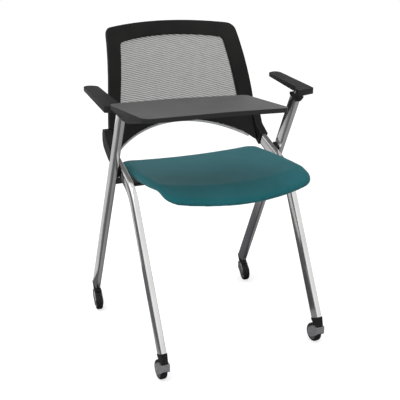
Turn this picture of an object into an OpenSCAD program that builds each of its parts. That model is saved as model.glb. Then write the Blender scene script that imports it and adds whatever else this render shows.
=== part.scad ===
// Nesting chair on casters with armrests and a writing tablet. Sizes are in millimetres.
// The sitter faces -Y, +Z is up and the floor is at z = 0.
// Left and right are the sitter's own: the right side, which carries the tablet, is at -X.

/* [Frame tubes] */
// Width of the flattened tube, across the chair
tube_w = 16; // [14:0.5:18]
// Depth of the flattened tube, along the chair
tube_d = 34; // [30:1:38]
// Wall of the tube
tube_wall = 1.6; // [1.2:0.1:2.4]
// Radius of the tube's corners
tube_r = 4; // [3:0.5:6]
// Gap between the two tubes where they cross
side_gap = 4; // [3.5:0.5:6]
// Lower end of the rear leg, along the depth
rear_foot_y = 240; // [230:1:255]
// Upper end of the arm post, along the depth
post_top_y = -35.5; // [-40:1:-24]
// Lower end of the front leg, along the depth
front_foot_y = -217.3; // [-225:1:-205]
// Corner of the front tube's knee, along the depth
knee_y = -39.8; // [-42:1:-32]
// Corner of the front tube's knee, above the floor
knee_z = 435.1; // [430:1:440]
// Bend radius of the knee, on the tube's middle line
knee_r = 90; // [70:5:120]
// Rise of the tube behind the knee, in degrees
run_rise = 23.2; // [20:0.5:26]
// Length of the tube from the knee's corner to its end in the back socket
run_len = 168; // [160:1:172]

/* [Crossing and cross shaft] */
// Diameter of the crossing's pivot bolt
pivot_d = 10; // [8:1:12]
// Diameter of the pivot bolt's head, inside the rear tube
pivot_head_d = 20; // [16:1:24]
// Thickness of the pivot bolt's head and nut
pivot_head_t = 4; // [3:0.5:5]
// Width of the spacer plate between the crossing tubes
spacer_w = 44; // [36:1:50]
// Height of the spacer plate
spacer_h = 40; // [34:1:46]
// Height of the cross shaft under the seat
shaft_z = 434; // [430:1:436]
// Diameter of the cross shaft
shaft_d = 16; // [14:1:18]
// Wall of the cross shaft
shaft_wall = 2; // [1.5:0.5:3]
// Diameter of the screws that hold the cross shaft
shaft_screw_d = 8; // [6:1:9]

/* [Seat] */
// Half of the seat's width at its widest place
seat_hw = 207; // [190:1:230]
// Gap between the side of the seat and the front leg beside it
seat_gap = 8; // [6:0.5:20]
// Narrowing of each side towards the front edge
seat_taper = 6.5; // [3:0.5:10]
// Rear edge of the seat, along the depth
seat_rear_y = 115; // [112:1:124]
// Front edge of the seat on the middle line
seat_front_y = -247; // [-256:1:-240]
// Height of the dished top on the middle line
seat_top_z = 465; // [463:0.5:467]
// Rise of the dished top from the middle line to the sides
seat_dish = 15; // [10:0.5:17]
// Height of the cushion's flat underside
seat_under_z = 451; // [450:0.5:452]
// Rise of the underside towards the front of the sides
seat_lift = 16; // [8:1:16]
// Thickness of the cushion at its front edge
seat_lip_t = 18; // [14:0.5:20]
// Fall of the top from the crease to the front edge
seat_fall = 17.5; // [12:0.5:20]
// Crease of the top on the middle line, back from the front edge
seat_crease = 71; // [60:1:80]
// Bow of the crease from the middle to the sides
seat_crease_bow = 28; // [20:1:34]
// Crown of the cushion over its middle
seat_crown = 2; // [1:0.5:4]
// Bow of the front edge from the middle to the sides
seat_bow = 38; // [30:1:50]
// Radius of the front corners, seen from above
seat_front_r = 30; // [24:1:50]
// Radius of the rear corners, seen from above
seat_rear_r = 28; // [20:1:36]
// Set-back of the front edge's underside
seat_nose = 8.5; // [4:0.5:12]
// Rounding of the cushion's upper edge
seat_edge_r = 7; // [4:0.5:9]
// Bulge of the cushion's side over its seam
seat_bulge = 1.5; // [0.5:0.25:2.5]
// Thickness of the pan under the cushion
pan_t = 5; // [4:0.5:6]
// Inset of the pan from the cushion's rear edge
pan_inset = 12; // [8:1:16]
// Length of each bearing block on the cross shaft
bearing_len = 26; // [18:1:34]
// Place of each bearing block, out from the middle
bearing_x = 150; // [120:1:165]
// Wall of the bearing around the shaft
bearing_wall = 5; // [4:0.5:7]
// Middle of the rest bracket on the front tube, along the depth
rest_y = 0; // [-16:1:0]
// Length of the rest bracket
rest_len = 44; // [36:1:46]
// Reach of the rest bracket's ledge under the pan
rest_reach = 40; // [36:1:44]
// Thickness of the rest bracket
rest_t = 4; // [3:0.5:4.5]
// Thickness of the rubber pad on the ledge
pad_t = 4; // [3:0.5:5]

/* [Back] */
// Height of the back's lower ends
back_z = 482; // [478:1:486]
// Height of the back from its lower ends to its top
back_h = 333; // [320:1:345]
// Middle of the back's shell at its lower ends, along the depth
back_y = 166; // [166:1:172]
// Lean of the back from its lower ends to its top
back_lean = 104; // [90:1:112]
// Radius of the back's curve, seen from above
back_curve_r = 440; // [420:5:520]
// Thickness of the back's frame
back_t = 14; // [11:1:16]
// How far each side of the back stands out beyond its lower end, above the sockets
back_step = 8.5; // [4:0.5:12]
// Half of the back's width at its top corners
back_top_hw = 190; // [182:1:196]
// Width of the back's uprights
upright_w = 41; // [34:1:46]
// Height of the back's top bar
top_bar = 37; // [30:1:42]
// Height of the mesh's lower edge above the floor
mesh_z = 590; // [584:1:600]
// Radius of the back's top corners
back_corner_r = 22; // [14:1:28]
// Height of the arch under the back, at the middle
arch_z = 549; // [544:1:554]
// Radius of the arch under the back
arch_r = 427; // [400:5:460]
// Rise of the top edge from the corners to the middle
top_bow = 11; // [6:1:14]
// Thickness of the mesh panel
mesh_t = 1.6; // [1:0.2:2.4]
// Diameter of the rod along the arch
rod_d = 7; // [6:0.5:9]
// Height above which the back widens over the sockets
socket_top_z = 553; // [552:1:556]

/* [Armrests] */
// Width of the armrest
arm_w = 42; // [38:1:44]
// Outer edge of the armrest, out from the rear leg tube's middle
arm_out = 47; // [44:1:50]
// Rear end of the armrest, along the depth
arm_rear_y = 137.5; // [130:1:150]
// Front end of the armrest at its outer edge
arm_front_y = -51.5; // [-50:1:-46]
// Height of the armrest's top at its front end
arm_front_z = 654; // [620:1:700]
// Rise of the armrest's top from its front end to its rear end
arm_rise = 21.5; // [10:0.5:26]
// Height of the armrest's top at its front end over the end of the leg tube
arm_over_post = 24; // [22:0.5:30]
// Thickness of the armrest at its rear end
arm_rear_t = 8; // [7:0.5:11]
// Thickness of the armrest at its front end
arm_front_t = 16; // [14:0.5:18]
// Diameter of the armrest's screws
arm_screw_d = 5; // [4:0.5:6]

/* [Tablet] */
// Height of the tablet's top over the armrest's front end
tablet_rise = 9; // [6:1:14]
// Thickness of the tablet
tablet_t = 11; // [9:0.5:13]
// Width of the tablet
tablet_w = 362; // [340:1:380]
// Depth of the tablet
tablet_depth = 214; // [200:1:220]
// Right edge of the tablet, out from the arm post's middle
tablet_out = 41; // [36:1:44]
// Radius of the tablet's corners
tablet_corner_r = 14; // [8:1:18]
// Diameter of the spindle that the tablet turns on
spindle_d = 10; // [8:0.5:11]
// Length of the spindle in front of the arm post
spindle_len = 30; // [26:1:34]
// Depth of the tablet's arm below the spindle
arm_below = 10; // [8.5:0.5:12]

/* [Casters] */
// Diameter of the wheels
wheel_d = 50; // [46:1:54]
// Width of the tyres
wheel_w = 18; // [16:0.5:20]
// Trail of the wheel's axle behind the caster's stem
trail = 18; // [17:0.5:22]
// Diameter of the caster's stem
stem_d = 8; // [7:0.5:9]
// Length of the stem above the fork
stem_len = 20; // [16:1:22]
// Thickness of the caster fork's sheet
fork_t = 2; // [1.5:0.25:2.5]
// Diameter of the wheel's axle
axle_d = 6; // [5:0.5:7]
// Height of the front plug, from the fork to the tube's middle
front_plug_h = 20.2; // [18:0.5:24]
// Height of the rear plug, from the fork to the tube's middle
rear_plug_h = 14.8; // [13.5:0.5:20]
// Stems of the rear casters, along the depth
rear_stem_y = 233.5; // [232:1:244]

/* [Fits] */
// Radial clearance of shafts that turn
turn_fit = 0.05; // [0.02:0.01:0.1]
// Clearance of plugs and tubes in their sockets
plug_fit = 0.2; // [0.1:0.05:0.4]
// Gap between a resting or passing pair of parts
rest_gap = 0.3; // [0.2:0.1:0.5]
// Side clearance of the turning parts
side_fit = 0.5; // [0.3:0.1:1]

/* [Hidden] */
$fn = 36;

// Sides of the chair
RIGHT = -1;
LEFT = 1;

// One overrun for every cut
cut = 2;

// Diameter of the pivot nut
nut_share = 0.9;
nut_d = pivot_head_d * nut_share;

// Heights of the caster's crown and of the plugs above it
head_room = 1.5;
fork_top_z = wheel_d + head_room;
plug_z = fork_top_z + side_fit;
rear_foot_z = plug_z + rear_plug_h;
front_foot_z = plug_z + front_plug_h;

// Straight lines of the two tubes, seen from the side
inner_x = seat_hw + seat_gap + tube_w / 2;
outer_x = inner_x + tube_w + side_gap;
post_top_z = arm_front_z - arm_over_post;
arm_rear_z = arm_front_z + arm_rise;
tablet_z = arm_front_z + tablet_rise;
rear_slope = (post_top_y - rear_foot_y) / (post_top_z - rear_foot_z);
rear_dir = atan2(post_top_z - rear_foot_z, post_top_y - rear_foot_y);
rear_len = norm([post_top_y - rear_foot_y, post_top_z - rear_foot_z]);
front_dir = atan2(knee_z - front_foot_z, knee_y - front_foot_y);
front_len = norm([knee_y - front_foot_y, knee_z - front_foot_z]);
knee_turn = front_dir - run_rise;
knee_cut = knee_r * tan(knee_turn / 2);
function rear_y(z) = rear_foot_y + (z - rear_foot_z) * rear_slope;
function run_z(y) = knee_z + (y - knee_y) * tan(run_rise);

// The crossing, where the two tubes' middle lines meet
cross_y = (rear_foot_y + (knee_z - knee_y * tan(run_rise) - rear_foot_z) * rear_slope)
    / (1 - tan(run_rise) * rear_slope);
cross_z = run_z(cross_y);
shaft_y = rear_y(shaft_z);
shaft_reach = outer_x - tube_w / 2;

// Stems of the casters stand on the tubes' middle lines
front_stem_y = front_foot_y - front_plug_h / tan(front_dir);
front_heading = 90;
rear_heading = 262;

// Arc of points about a corner. Outline points are [x, y, radius].
arc_steps = 4;
function unit(v) = v / norm(v);
function corner(a, b, c) =
    let (
        u = unit([a.x - b.x, a.y - b.y]),
        v = unit([c.x - b.x, c.y - b.y]),
        half = acos(min(max(u * v, -1), 1)) / 2,
        middle = [b.x, b.y] + unit(u + v) * (b[2] / sin(half)),
        from = [b.x, b.y] + u * (b[2] / tan(half)) - middle,
        to = [b.x, b.y] + v * (b[2] / tan(half)) - middle,
        start = atan2(from.y, from.x),
        turn = atan2(from.x * to.y - from.y * to.x, from * to)
    )
    [for (i = [0 : arc_steps]) middle + b[2] * [cos(start + turn * i / arc_steps),
                                                sin(start + turn * i / arc_steps)]];
function rounded(pts) =
    let (n = len(pts))
    [for (i = [0 : n - 1])
        each (pts[i][2] > 0 ? corner(pts[(i + n - 1) % n], pts[i], pts[(i + 1) % n])
                            : [[pts[i].x, pts[i].y]])];
function mirrored(pts) = [for (i = [len(pts) - 1 : -1 : 0]) [-pts[i].x, pts[i].y]];

// Places its children's XY plane on the chair's YZ plane, at x
module side_plane(x) {
    translate([x, 0, 0])
        rotate([90, 0, 90])
            children();
}

// Plate drawn in depth and height, w thick across the chair
module side_plate(x, w, pts) {
    side_plane(x)
        linear_extrude(w, center = true)
            polygon(pts);
}

// Round bar across the chair, centred on x
module cross_bar(x, y, z, len, d) {
    side_plane(x)
        translate([y, z, 0])
            cylinder(h = len, d = d, center = true);
}

module rounded_rect(w, d, r) {
    polygon(rounded([[w / 2, d / 2, r], [-w / 2, d / 2, r], [-w / 2, -d / 2, r], [w / 2, -d / 2, r]]));
}

// Hollow section of the tubes, w along the first axis
module tube_section(w, d) {
    difference() {
        rounded_rect(w, d, tube_r);
        rounded_rect(w - 2 * tube_wall, d - 2 * tube_wall, tube_r - tube_wall);
    }
}

// Carries a section along a straight run in the side plane, from a point in a direction
module along(y, z, dir, len) {
    translate([y, z, 0])
        rotate([0, 0, dir])
            rotate([0, 90, 0])
                linear_extrude(len)
                    children();
}

// Point beside a foot or post end: s along the tube from its end, n across it
function beside(y, z, dir, s, n) = [y + s * cos(dir) - n * sin(dir), z + s * sin(dir) + n * cos(dir)];

// Hole through the two facing walls of the crossing tubes
module pivot_hole(side, d) {
    cross_bar(side * (outer_x + inner_x) / 2, cross_y, cross_z, outer_x - inner_x, d);
}

// Front leg, knee and back support, bent from one tube
module front_tube(side) {
    arc_y = knee_y - knee_cut * cos(front_dir) + knee_r * sin(front_dir);
    arc_z = knee_z - knee_cut * sin(front_dir) - knee_r * cos(front_dir);
    color("silver")
        difference() {
            side_plane(side * inner_x) {
                along(front_foot_y, front_foot_z, front_dir, front_len - knee_cut)
                    tube_section(tube_w, tube_d);
                translate([arc_y, arc_z, 0])
                    rotate([0, 0, run_rise + 90])
                        rotate_extrude(angle = knee_turn)
                            translate([knee_r, 0])
                                tube_section(tube_d, tube_w);
                along(knee_y + knee_cut * cos(run_rise), knee_z + knee_cut * sin(run_rise),
                      run_rise, run_len - knee_cut)
                    tube_section(tube_w, tube_d);
            }
            pivot_hole(side, pivot_d);
        }
}
module front_tube_right() { front_tube(RIGHT); }
module front_tube_left() { front_tube(LEFT); }

// Rear leg and arm post in one straight tube
module rear_tube(side) {
    color("silver")
        difference() {
            side_plane(side * outer_x)
                along(rear_foot_y, rear_foot_z, rear_dir, rear_len)
                    tube_section(tube_w, tube_d);
            pivot_hole(side, pivot_d + 2 * turn_fit);
            cross_bar(side * shaft_reach, shaft_y, shaft_z, tube_w, shaft_screw_d);
        }
}
module rear_tube_right() { rear_tube(RIGHT); }
module rear_tube_left() { rear_tube(LEFT); }

// Plastic plate that keeps the crossing tubes apart, fixed to the front tube
module crossing_plate(side) {
    plate_w = side_gap - side_fit;
    r = spacer_h / 4;
    color("#202020")
        difference() {
            side_plane(side * (inner_x + tube_w / 2 + plate_w / 2))
                translate([cross_y, cross_z, 0])
                    rotate([0, 0, run_rise])
                        linear_extrude(plate_w, center = true)
                            rounded_rect(spacer_w, spacer_h, r);
            pivot_hole(side, pivot_d);
        }
}
module crossing_plate_right() { crossing_plate(RIGHT); }
module crossing_plate_left() { crossing_plate(LEFT); }

// Shouldered bolts through the facing walls, with heads and nuts inside the tubes
module pivot_bolts() {
    inside = inner_x + tube_w / 2 - tube_wall - pivot_head_t;
    outside = outer_x - tube_w / 2 + tube_wall + side_fit;
    color("dimgray")
        for (side = [RIGHT, LEFT]) {
            cross_bar(side * (inside + outside) / 2, cross_y, cross_z, outside - inside, pivot_d);
            cross_bar(side * (outside + pivot_head_t / 2), cross_y, cross_z, pivot_head_t, pivot_head_d);
        }
}

module pivot_nuts() {
    middle = inner_x + tube_w / 2 - tube_wall - pivot_head_t / 2;
    color("dimgray")
        for (side = [RIGHT, LEFT])
            difference() {
                cross_bar(side * middle, cross_y, cross_z, pivot_head_t, nut_d);
                cross_bar(side * middle, cross_y, cross_z, 2 * pivot_head_t, pivot_d);
            }
}

// Steel tube that joins the rear leg tubes and carries the seat
module cross_shaft() {
    color("#202020")
        difference() {
            cross_bar(0, shaft_y, shaft_z, 2 * shaft_reach, shaft_d);
            cross_bar(0, shaft_y, shaft_z, 2 * (shaft_reach - tube_w), shaft_d - 2 * shaft_wall);
            cross_bar(0, shaft_y, shaft_z, 2 * shaft_reach + cut, shaft_screw_d);
        }
}

// Screws from inside the rear tubes into the shaft's solid ends
module shaft_screws() {
    inside = shaft_reach - tube_w;
    outside = shaft_reach + tube_wall;
    color("dimgray")
        for (side = [RIGHT, LEFT]) {
            cross_bar(side * (inside + outside) / 2, shaft_y, shaft_z, outside - inside, shaft_screw_d);
            cross_bar(side * (outside + fork_t / 2), shaft_y, shaft_z, fork_t, 2 * shaft_screw_d);
        }
}

// Plan of the cushion. Its u runs from side to side, -1 to 1, and v from the rear edge to the front.
seat_widest_share = 0.4;
function half_width(v) =
    seat_hw - seat_taper * pow((v - seat_widest_share) / (1 - seat_widest_share), 2);
function corner_drop(u, r) =
    let (over = max(abs(u) * seat_hw - (seat_hw - r), 0))
    r - sqrt(max(r * r - over * over, 0));
function seat_front(u) = seat_front_y + seat_bow * u * u + corner_drop(u, seat_front_r);
function seat_rear(u) = seat_rear_y - corner_drop(u, seat_rear_r);
function seat_point(u, v) = [u * half_width(v), seat_rear(u) + v * (seat_front(u) - seat_rear(u))];

// Share of the fall in front of the crease, which bows as the front edge does
crease_y = seat_front_y + seat_crease;
fall_power_share = 1.15;
function fall_share(u, y) =
    pow(min(max((crease_y + seat_crease_bow * u * u - y) / seat_crease, 0), 1), fall_power_share);
// Share of the way from the rear edge to the crease
function way_share(y) = min(max((seat_rear_y - y) / (seat_rear_y - crease_y), 0), 1);
// Share of the rounding at a distance from an edge
function edge_share(d) = let (t = min(max(d / seat_edge_r, 0), 1)) 1 - sqrt(1 - (1 - t) * (1 - t));

// The dish is half as deep at the rear edge as at the crease
rear_dish_share = 0.5;
function dish_z(u, y) = seat_top_z
    + seat_dish * u * u * (rear_dish_share + (1 - rear_dish_share) * sin(90 * way_share(y)));

// The pan's half width as a share of the cushion's: at the rear edge, and what it loses to the crease
pan_rear_share = 0.925;
pan_loss_share = 0.15;
function pan_share(way) = pan_rear_share - pan_loss_share * way * way;

seat_x_shares = [0, 0.2, 0.4, 0.58, 0.73, 0.84, 0.915, 0.96, 0.982, 0.993, 1];
seat_y_shares = [0, 0.004, 0.012, 0.03, 0.08, 0.2, 0.35, 0.5, 0.63, 0.7, 0.75, 0.79, 0.84, 0.9,
                 0.95, 0.98, 0.993, 1];
function both_ways(shares) = concat([for (i = [len(shares) - 1 : -1 : 1]) -shares[i]], shares);

function top_z(u, v) =
    let (p = seat_point(u, v),
         to_side = seat_hw * (1 - abs(u)),
         to_end = min(seat_rear(u) - p.y, p.y - seat_front(u)))
    dish_z(u, p.y) - seat_edge_r * max(edge_share(to_side), edge_share(to_end))
        + seat_crown * (1 - u * u) * sin(180 * v) - seat_fall * fall_share(u, p.y);
function bottom_z(u, v) =
    let (p = seat_point(u, v),
         way = way_share(p.y),
         fall = fall_share(u, p.y),
         past = max(abs(u) - pan_share(way), 0) / (1 - pan_share(way)))
    (seat_under_z + seat_lift * past * way * way) * (1 - fall)
        + (dish_z(u, p.y) - seat_fall - seat_lip_t) * fall;
nose_side_share = 0.4;
function bottom_point(u, v) =
    let (p = seat_point(u, v), nose = pow(max(2 * v - 1, 0), 2) * (1 - (1 - nose_side_share) * u * u))
    [p.x - seat_bulge * u, p.y + seat_nose * nose - seat_bulge * (1 - v) * (1 - v), bottom_z(u, v)];

// Padded cushion: a crowned top, sides that bulge over the seam, a flat underside
module seat_cushion() {
    us = both_ways(seat_x_shares);
    vs = seat_y_shares;
    n = len(us);
    m = len(vs);
    middle = (seat_rear_y + seat_front_y) / 2;
    top = [for (u = us, v = vs) [each seat_point(u, v), top_z(u, v)]];
    bottom = [for (u = us, v = vs) bottom_point(u, v)];
    rim = concat([for (j = [0 : m - 1]) j], [for (i = [1 : n - 1]) i * m + m - 1],
                 [for (j = [m - 2 : -1 : 0]) (n - 1) * m + j], [for (i = [n - 2 : -1 : 1]) i * m]);
    girth = [for (k = rim)
        let (p = top[k], out = unit([p.x, p.y - middle]))
        [p.x + seat_bulge * out.x, p.y + seat_bulge * out.y, (p.z + bottom[k].z) / 2]];
    t = n * m;
    r = len(rim);
    faces = concat(
        [for (i = [0 : n - 2], j = [0 : m - 2]) each let (a = i * m + j)
            [[a, a + 1, a + m + 1], [a, a + m + 1, a + m]]],
        [for (i = [0 : n - 2], j = [0 : m - 2]) each let (a = t + i * m + j)
            [[a, a + m + 1, a + 1], [a, a + m, a + m + 1]]],
        [for (k = [0 : r - 1]) each let (a = rim[k], b = rim[(k + 1) % r],
                                         c = 2 * t + k, d = 2 * t + (k + 1) % r)
            [[a, c, d], [a, d, b], [c, t + a, t + b], [c, t + b, d]]]);
    color("#2f6a6f")
        polyhedron(points = concat(top, bottom, girth), faces = faces);
}

// Moulded pan under the cushion, narrower to the front
pan_top_z = seat_under_z - rest_gap;
pan_z = pan_top_z - pan_t;
pan_rear_y = seat_rear_y - pan_inset;
pan_front_y = crease_y + seat_crease_bow;
pan_way_shares = [0, 0.3, 0.5, 0.7, 0.85, 1];
seat_screw_shares = [[-0.45, 0.9], [0.45, 0.9], [-0.8, 0.12], [0.8, 0.12]];
function pan_hw(y) = (seat_hw - seat_taper) * pan_share(way_share(y)) - rest_gap;
function pan_spot(share) =
    let (y = pan_front_y + share.y * (pan_rear_y - pan_front_y))
    [share.x * pan_hw(y), y];

module seat_pan() {
    side = [for (way = pan_way_shares)
        let (y = pan_rear_y + way * (pan_front_y - pan_rear_y))
        [pan_hw(y), y, way == 0 ? seat_rear_r : way == 1 ? seat_rear_r / 2 : 0]];
    other = [for (i = [len(side) - 1 : -1 : 0]) [-side[i].x, side[i].y, side[i][2]]];
    color("#1d1d1d")
        difference() {
            translate([0, 0, pan_z])
                linear_extrude(pan_t)
                    polygon(rounded(concat(side, other)));
            for (share = seat_screw_shares)
                translate([each pan_spot(share), pan_z - cut])
                    cylinder(h = pan_t + 2 * cut, d = arm_screw_d);
            bearing_screws();
        }
}

// Countersunk screws from the pan down into the bearing blocks
module bearing_screws() {
    for (side = [RIGHT, LEFT], end = [-1, 1])
        translate([side * bearing_x, shaft_y + end * 1.3 * (shaft_d / 2 + bearing_wall), pan_z - pan_t]) {
            cylinder(h = 2 * pan_t, d = arm_screw_d);
            translate([0, 0, 2 * pan_t - fork_t])
                cylinder(h = fork_t, d = 2 * arm_screw_d);
        }
}

// Bearing block under the pan, which turns on the cross shaft
module seat_bearing(side) {
    r = shaft_d / 2 + bearing_wall;
    color("#1d1d1d")
        difference() {
            union() {
                cross_bar(side * bearing_x, shaft_y, shaft_z, bearing_len, 2 * r);
                side_plate(side * bearing_x, bearing_len,
                           [[shaft_y - r, shaft_z], [shaft_y + r, shaft_z],
                            [shaft_y + 2 * r, pan_z - fork_t], [shaft_y + 2 * r, pan_z],
                            [shaft_y - 2 * r, pan_z], [shaft_y - 2 * r, pan_z - fork_t]]);
            }
            cross_bar(side * bearing_x, shaft_y, shaft_z, 2 * bearing_len, shaft_d + 2 * turn_fit);
            side_plate(side * bearing_x, 2 * bearing_len,
                       [[shaft_y - 2 * r, pan_z], [shaft_y + 2 * r, pan_z],
                        [shaft_y + 2 * r, pan_z + r], [shaft_y - 2 * r, pan_z + r]]);
            bearing_screws();
        }
}
module seat_bearing_right() { seat_bearing(RIGHT); }
module seat_bearing_left() { seat_bearing(LEFT); }

module seat_screws() {
    color("dimgray") {
        bearing_screws();
        for (share = seat_screw_shares)
            translate([each pan_spot(share), pan_z - fork_t]) {
                cylinder(h = fork_t, d = 2 * arm_screw_d);
                cylinder(h = fork_t + pan_t, d = arm_screw_d);
            }
    }
}

// Bracket on the front tube's inner face, whose ledge the seat rests on in use
ledge_z = pan_z - rest_gap - pad_t;
module seat_rest(side) {
    face = inner_x - tube_w / 2;
    low = ledge_z - 2 * rest_t;
    high = run_z(rest_y) + tube_d / 3;
    color("#1d1d1d") {
        side_plate(side * (face - rest_t / 2), rest_t,
                   rounded([[rest_y + rest_len / 2, low, rest_t], [rest_y + rest_len / 2, high, 2 * rest_t],
                            [rest_y - rest_len / 2, high - rest_t, 2 * rest_t],
                            [rest_y - rest_len / 2, low, rest_t]]));
        side_plate(side * (face - rest_reach / 2), rest_reach,
                   [[rest_y + rest_len / 3, ledge_z - rest_t], [rest_y + rest_len / 3, ledge_z],
                    [rest_y - rest_len / 3, ledge_z], [rest_y - rest_len / 3, ledge_z - rest_t]]);
    }
}
module seat_rest_right() { seat_rest(RIGHT); }
module seat_rest_left() { seat_rest(LEFT); }

module rest_pads() {
    width = rest_reach - rest_t;
    middle = inner_x - tube_w / 2 - rest_reach + width / 2;
    color("#101010")
        for (side = [RIGHT, LEFT])
            side_plate(side * middle, width,
                       [[rest_y + rest_len / 4, ledge_z], [rest_y + rest_len / 4, ledge_z + pad_t],
                        [rest_y - rest_len / 4, ledge_z + pad_t], [rest_y - rest_len / 4, ledge_z]]);
}

// Side curve of the back, as shares of its height and lean: hollow below, leaning out above
back_curve_shares = [[0, 0], [0.06, 0.115], [0.12, 0.2], [0.18, 0.26], [0.24, 0.3], [0.36, 0.35],
                     [0.48, 0.4], [0.6, 0.468], [0.72, 0.572], [0.84, 0.716], [0.94, 0.88], [1, 1]];
back_axis_y = back_y - back_curve_r + back_lean * back_curve_shares[4].y;
function back_place(share, off) =
    [back_y - back_axis_y + back_lean * share.y + off, back_z + back_h * share.x];

// Curved slab of the given thickness, wider and taller than the back
module back_slab(t) {
    past = back_curve_shares[1];
    low = back_place(-past / 2, 0);
    high = back_place([1, 1] + past / 2, 0);
    middle = concat([low], [for (s = back_curve_shares) back_place(s, 0)], [high]);
    pts = concat([for (p = middle) [p.x + t / 2, p.y]],
                 [for (i = [len(middle) - 1 : -1 : 0]) [middle[i].x - t / 2, middle[i].y]]);
    spread = 2 * asin(back_hw / back_curve_r) + upright_w / 2;
    translate([0, back_axis_y, 0])
        rotate([0, 0, 90 - spread / 2])
            rotate_extrude(angle = spread, $fn = 96)
                polygon(pts);
}

// Extrudes an outline, drawn in width and height, through the whole depth of the back
module through_back() {
    translate([0, back_y + 2 * back_lean, 0])
        rotate([90, 0, 0])
            linear_extrude(4 * back_lean)
                children();
}

back_top_z = back_z + back_h;
limb_x = inner_x - tube_w / 2 - rod_d / 2;
back_hw = limb_x + back_step;
function arch_edge(x) = arch_z - arch_r + sqrt(arch_r * arch_r - x * x);
arch_steps = 14;

foot_share = 0.94;
foot_x = foot_share * limb_x;
module back_outline() {
    half = rounded([each [for (i = [0 : arch_steps])
                        [foot_x * i / arch_steps, arch_edge(foot_x * i / arch_steps), 0]],
                    [limb_x, back_z, 0], [limb_x, socket_top_z, 0], [back_hw, socket_top_z, 0],
                    [back_hw - rod_d, mesh_z + top_bar, 0],
                    [back_top_hw, back_top_z - top_bow, back_corner_r],
                    [back_top_hw / 2, back_top_z - top_bow / 4, 0], [0, back_top_z, 0]]);
    polygon(concat(half, [for (i = [len(half) - 2 : -1 : 1]) [-half[i].x, half[i].y]]));
}

module mesh_outline() {
    bottom_hw = back_hw - upright_w;
    top_hw = back_top_hw - upright_w + rod_d / 2;
    top_z = back_top_z - top_bar;
    r = back_corner_r / 2;
    polygon(rounded([[bottom_hw, mesh_z, r], [top_hw, top_z - top_bow, r], [0, top_z, 0],
                     [-top_hw, top_z - top_bow, r], [-bottom_hw, mesh_z, r]]));
}

// Moulded frame of the back, open in the middle for the mesh and arched below
module back_frame() {
    color("#262626")
        intersection() {
            back_slab(back_t);
            difference() {
                through_back() back_outline();
                through_back() mesh_outline();
            }
        }
}

module back_mesh() {
    color("#8c8c8c")
        intersection() {
            back_slab(mesh_t);
            through_back() mesh_outline();
        }
}

// Socket that holds the front tube's rear end beside the back's lower end
socket_w = inner_x + tube_w / 2 + side_gap - side_fit - limb_x;
socket_x = limb_x + rest_gap / 2 + socket_w / 2;
tube_end = [knee_y + run_len * cos(run_rise), knee_z + run_len * sin(run_rise)];
// Outline along and across the tube from its end, as shares of its depth, with the corners' radii
socket_shares = [[-0.737, 0.588, 0.08], [1.479, 0.956, 0.22], [1.339, 0.408, 0.3], [0.838, -0.017, 0.5],
                 [-0.123, -0.616, 0.12]];
module back_socket(side) {
    outline = [for (s = socket_shares)
        [each beside(tube_end.x, tube_end.y, run_rise, s.x * tube_d, s.y * tube_d), s[2] * tube_d]];
    color("#1d1d1d")
        difference() {
            side_plate(side * socket_x, socket_w - rest_gap, rounded(outline));
            side_plane(side * inner_x)
                along(tube_end.x - 2 * tube_d * cos(run_rise), tube_end.y - 2 * tube_d * sin(run_rise),
                      run_rise, 2 * tube_d + plug_fit)
                    rounded_rect(tube_w + 2 * plug_fit, tube_d + 2 * plug_fit, tube_r);
            socket_holes(side);
        }
}
module socket_holes(side) {
    spot = beside(tube_end.x, tube_end.y, run_rise, -tube_w / 2, 0);
    cross_bar(side * (socket_x - socket_w / 2), spot.x, spot.y, tube_w, arm_screw_d);
}
module back_socket_right() { back_socket(RIGHT); }
module back_socket_left() { back_socket(LEFT); }

// Grub screws through the socket's inner wall, up to the tube
module socket_screws() {
    spot = beside(tube_end.x, tube_end.y, run_rise, -tube_w / 2, 0);
    start = socket_x - socket_w / 2 + rest_gap / 2;
    tip = inner_x - tube_w / 2;
    color("dimgray")
        for (side = [RIGHT, LEFT])
            cross_bar(side * (start + tip) / 2, spot.x, spot.y, tip - start, arm_screw_d);
}

// Bright rod that follows the arch in front of the back's lower edge
rod_steps = 24;
rod_sides = 12;
function rod_point(x) =
    let (z = arch_edge(x) - (rod_d / 2 + rest_gap) * arch_r / sqrt(arch_r * arch_r - x * x),
         s = lookup((z - back_z) / back_h, back_curve_shares),
         radius = back_y - back_axis_y + back_lean * s)
    [x, back_axis_y + sqrt(radius * radius - x * x), z];
module back_rod() {
    reach = foot_x - rod_d / 2;
    path = [for (i = [0 : rod_steps]) rod_point(reach * (2 * i / rod_steps - 1))];
    rings = [for (i = [0 : rod_steps])
        let (ahead = path[min(i + 1, rod_steps)] - path[max(i - 1, 0)],
             t = ahead / norm(ahead),
             n = cross(t, [0, 0, 1]) / norm(cross(t, [0, 0, 1])),
             b = cross(n, t))
        each [for (k = [0 : rod_sides - 1])
            path[i] + rod_d / 2 * (cos(360 * k / rod_sides) * n + sin(360 * k / rod_sides) * b)]];
    skin = [for (i = [0 : rod_steps - 1], k = [0 : rod_sides - 1])
        let (a = i * rod_sides + k, b = i * rod_sides + (k + 1) % rod_sides)
        [a, b, b + rod_sides, a + rod_sides]];
    ends = [[for (k = [rod_sides - 1 : -1 : 0]) k],
            [for (k = [0 : rod_sides - 1]) rod_steps * rod_sides + k]];
    color("lightgray")
        polyhedron(points = rings, faces = concat(skin, ends));
}

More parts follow.
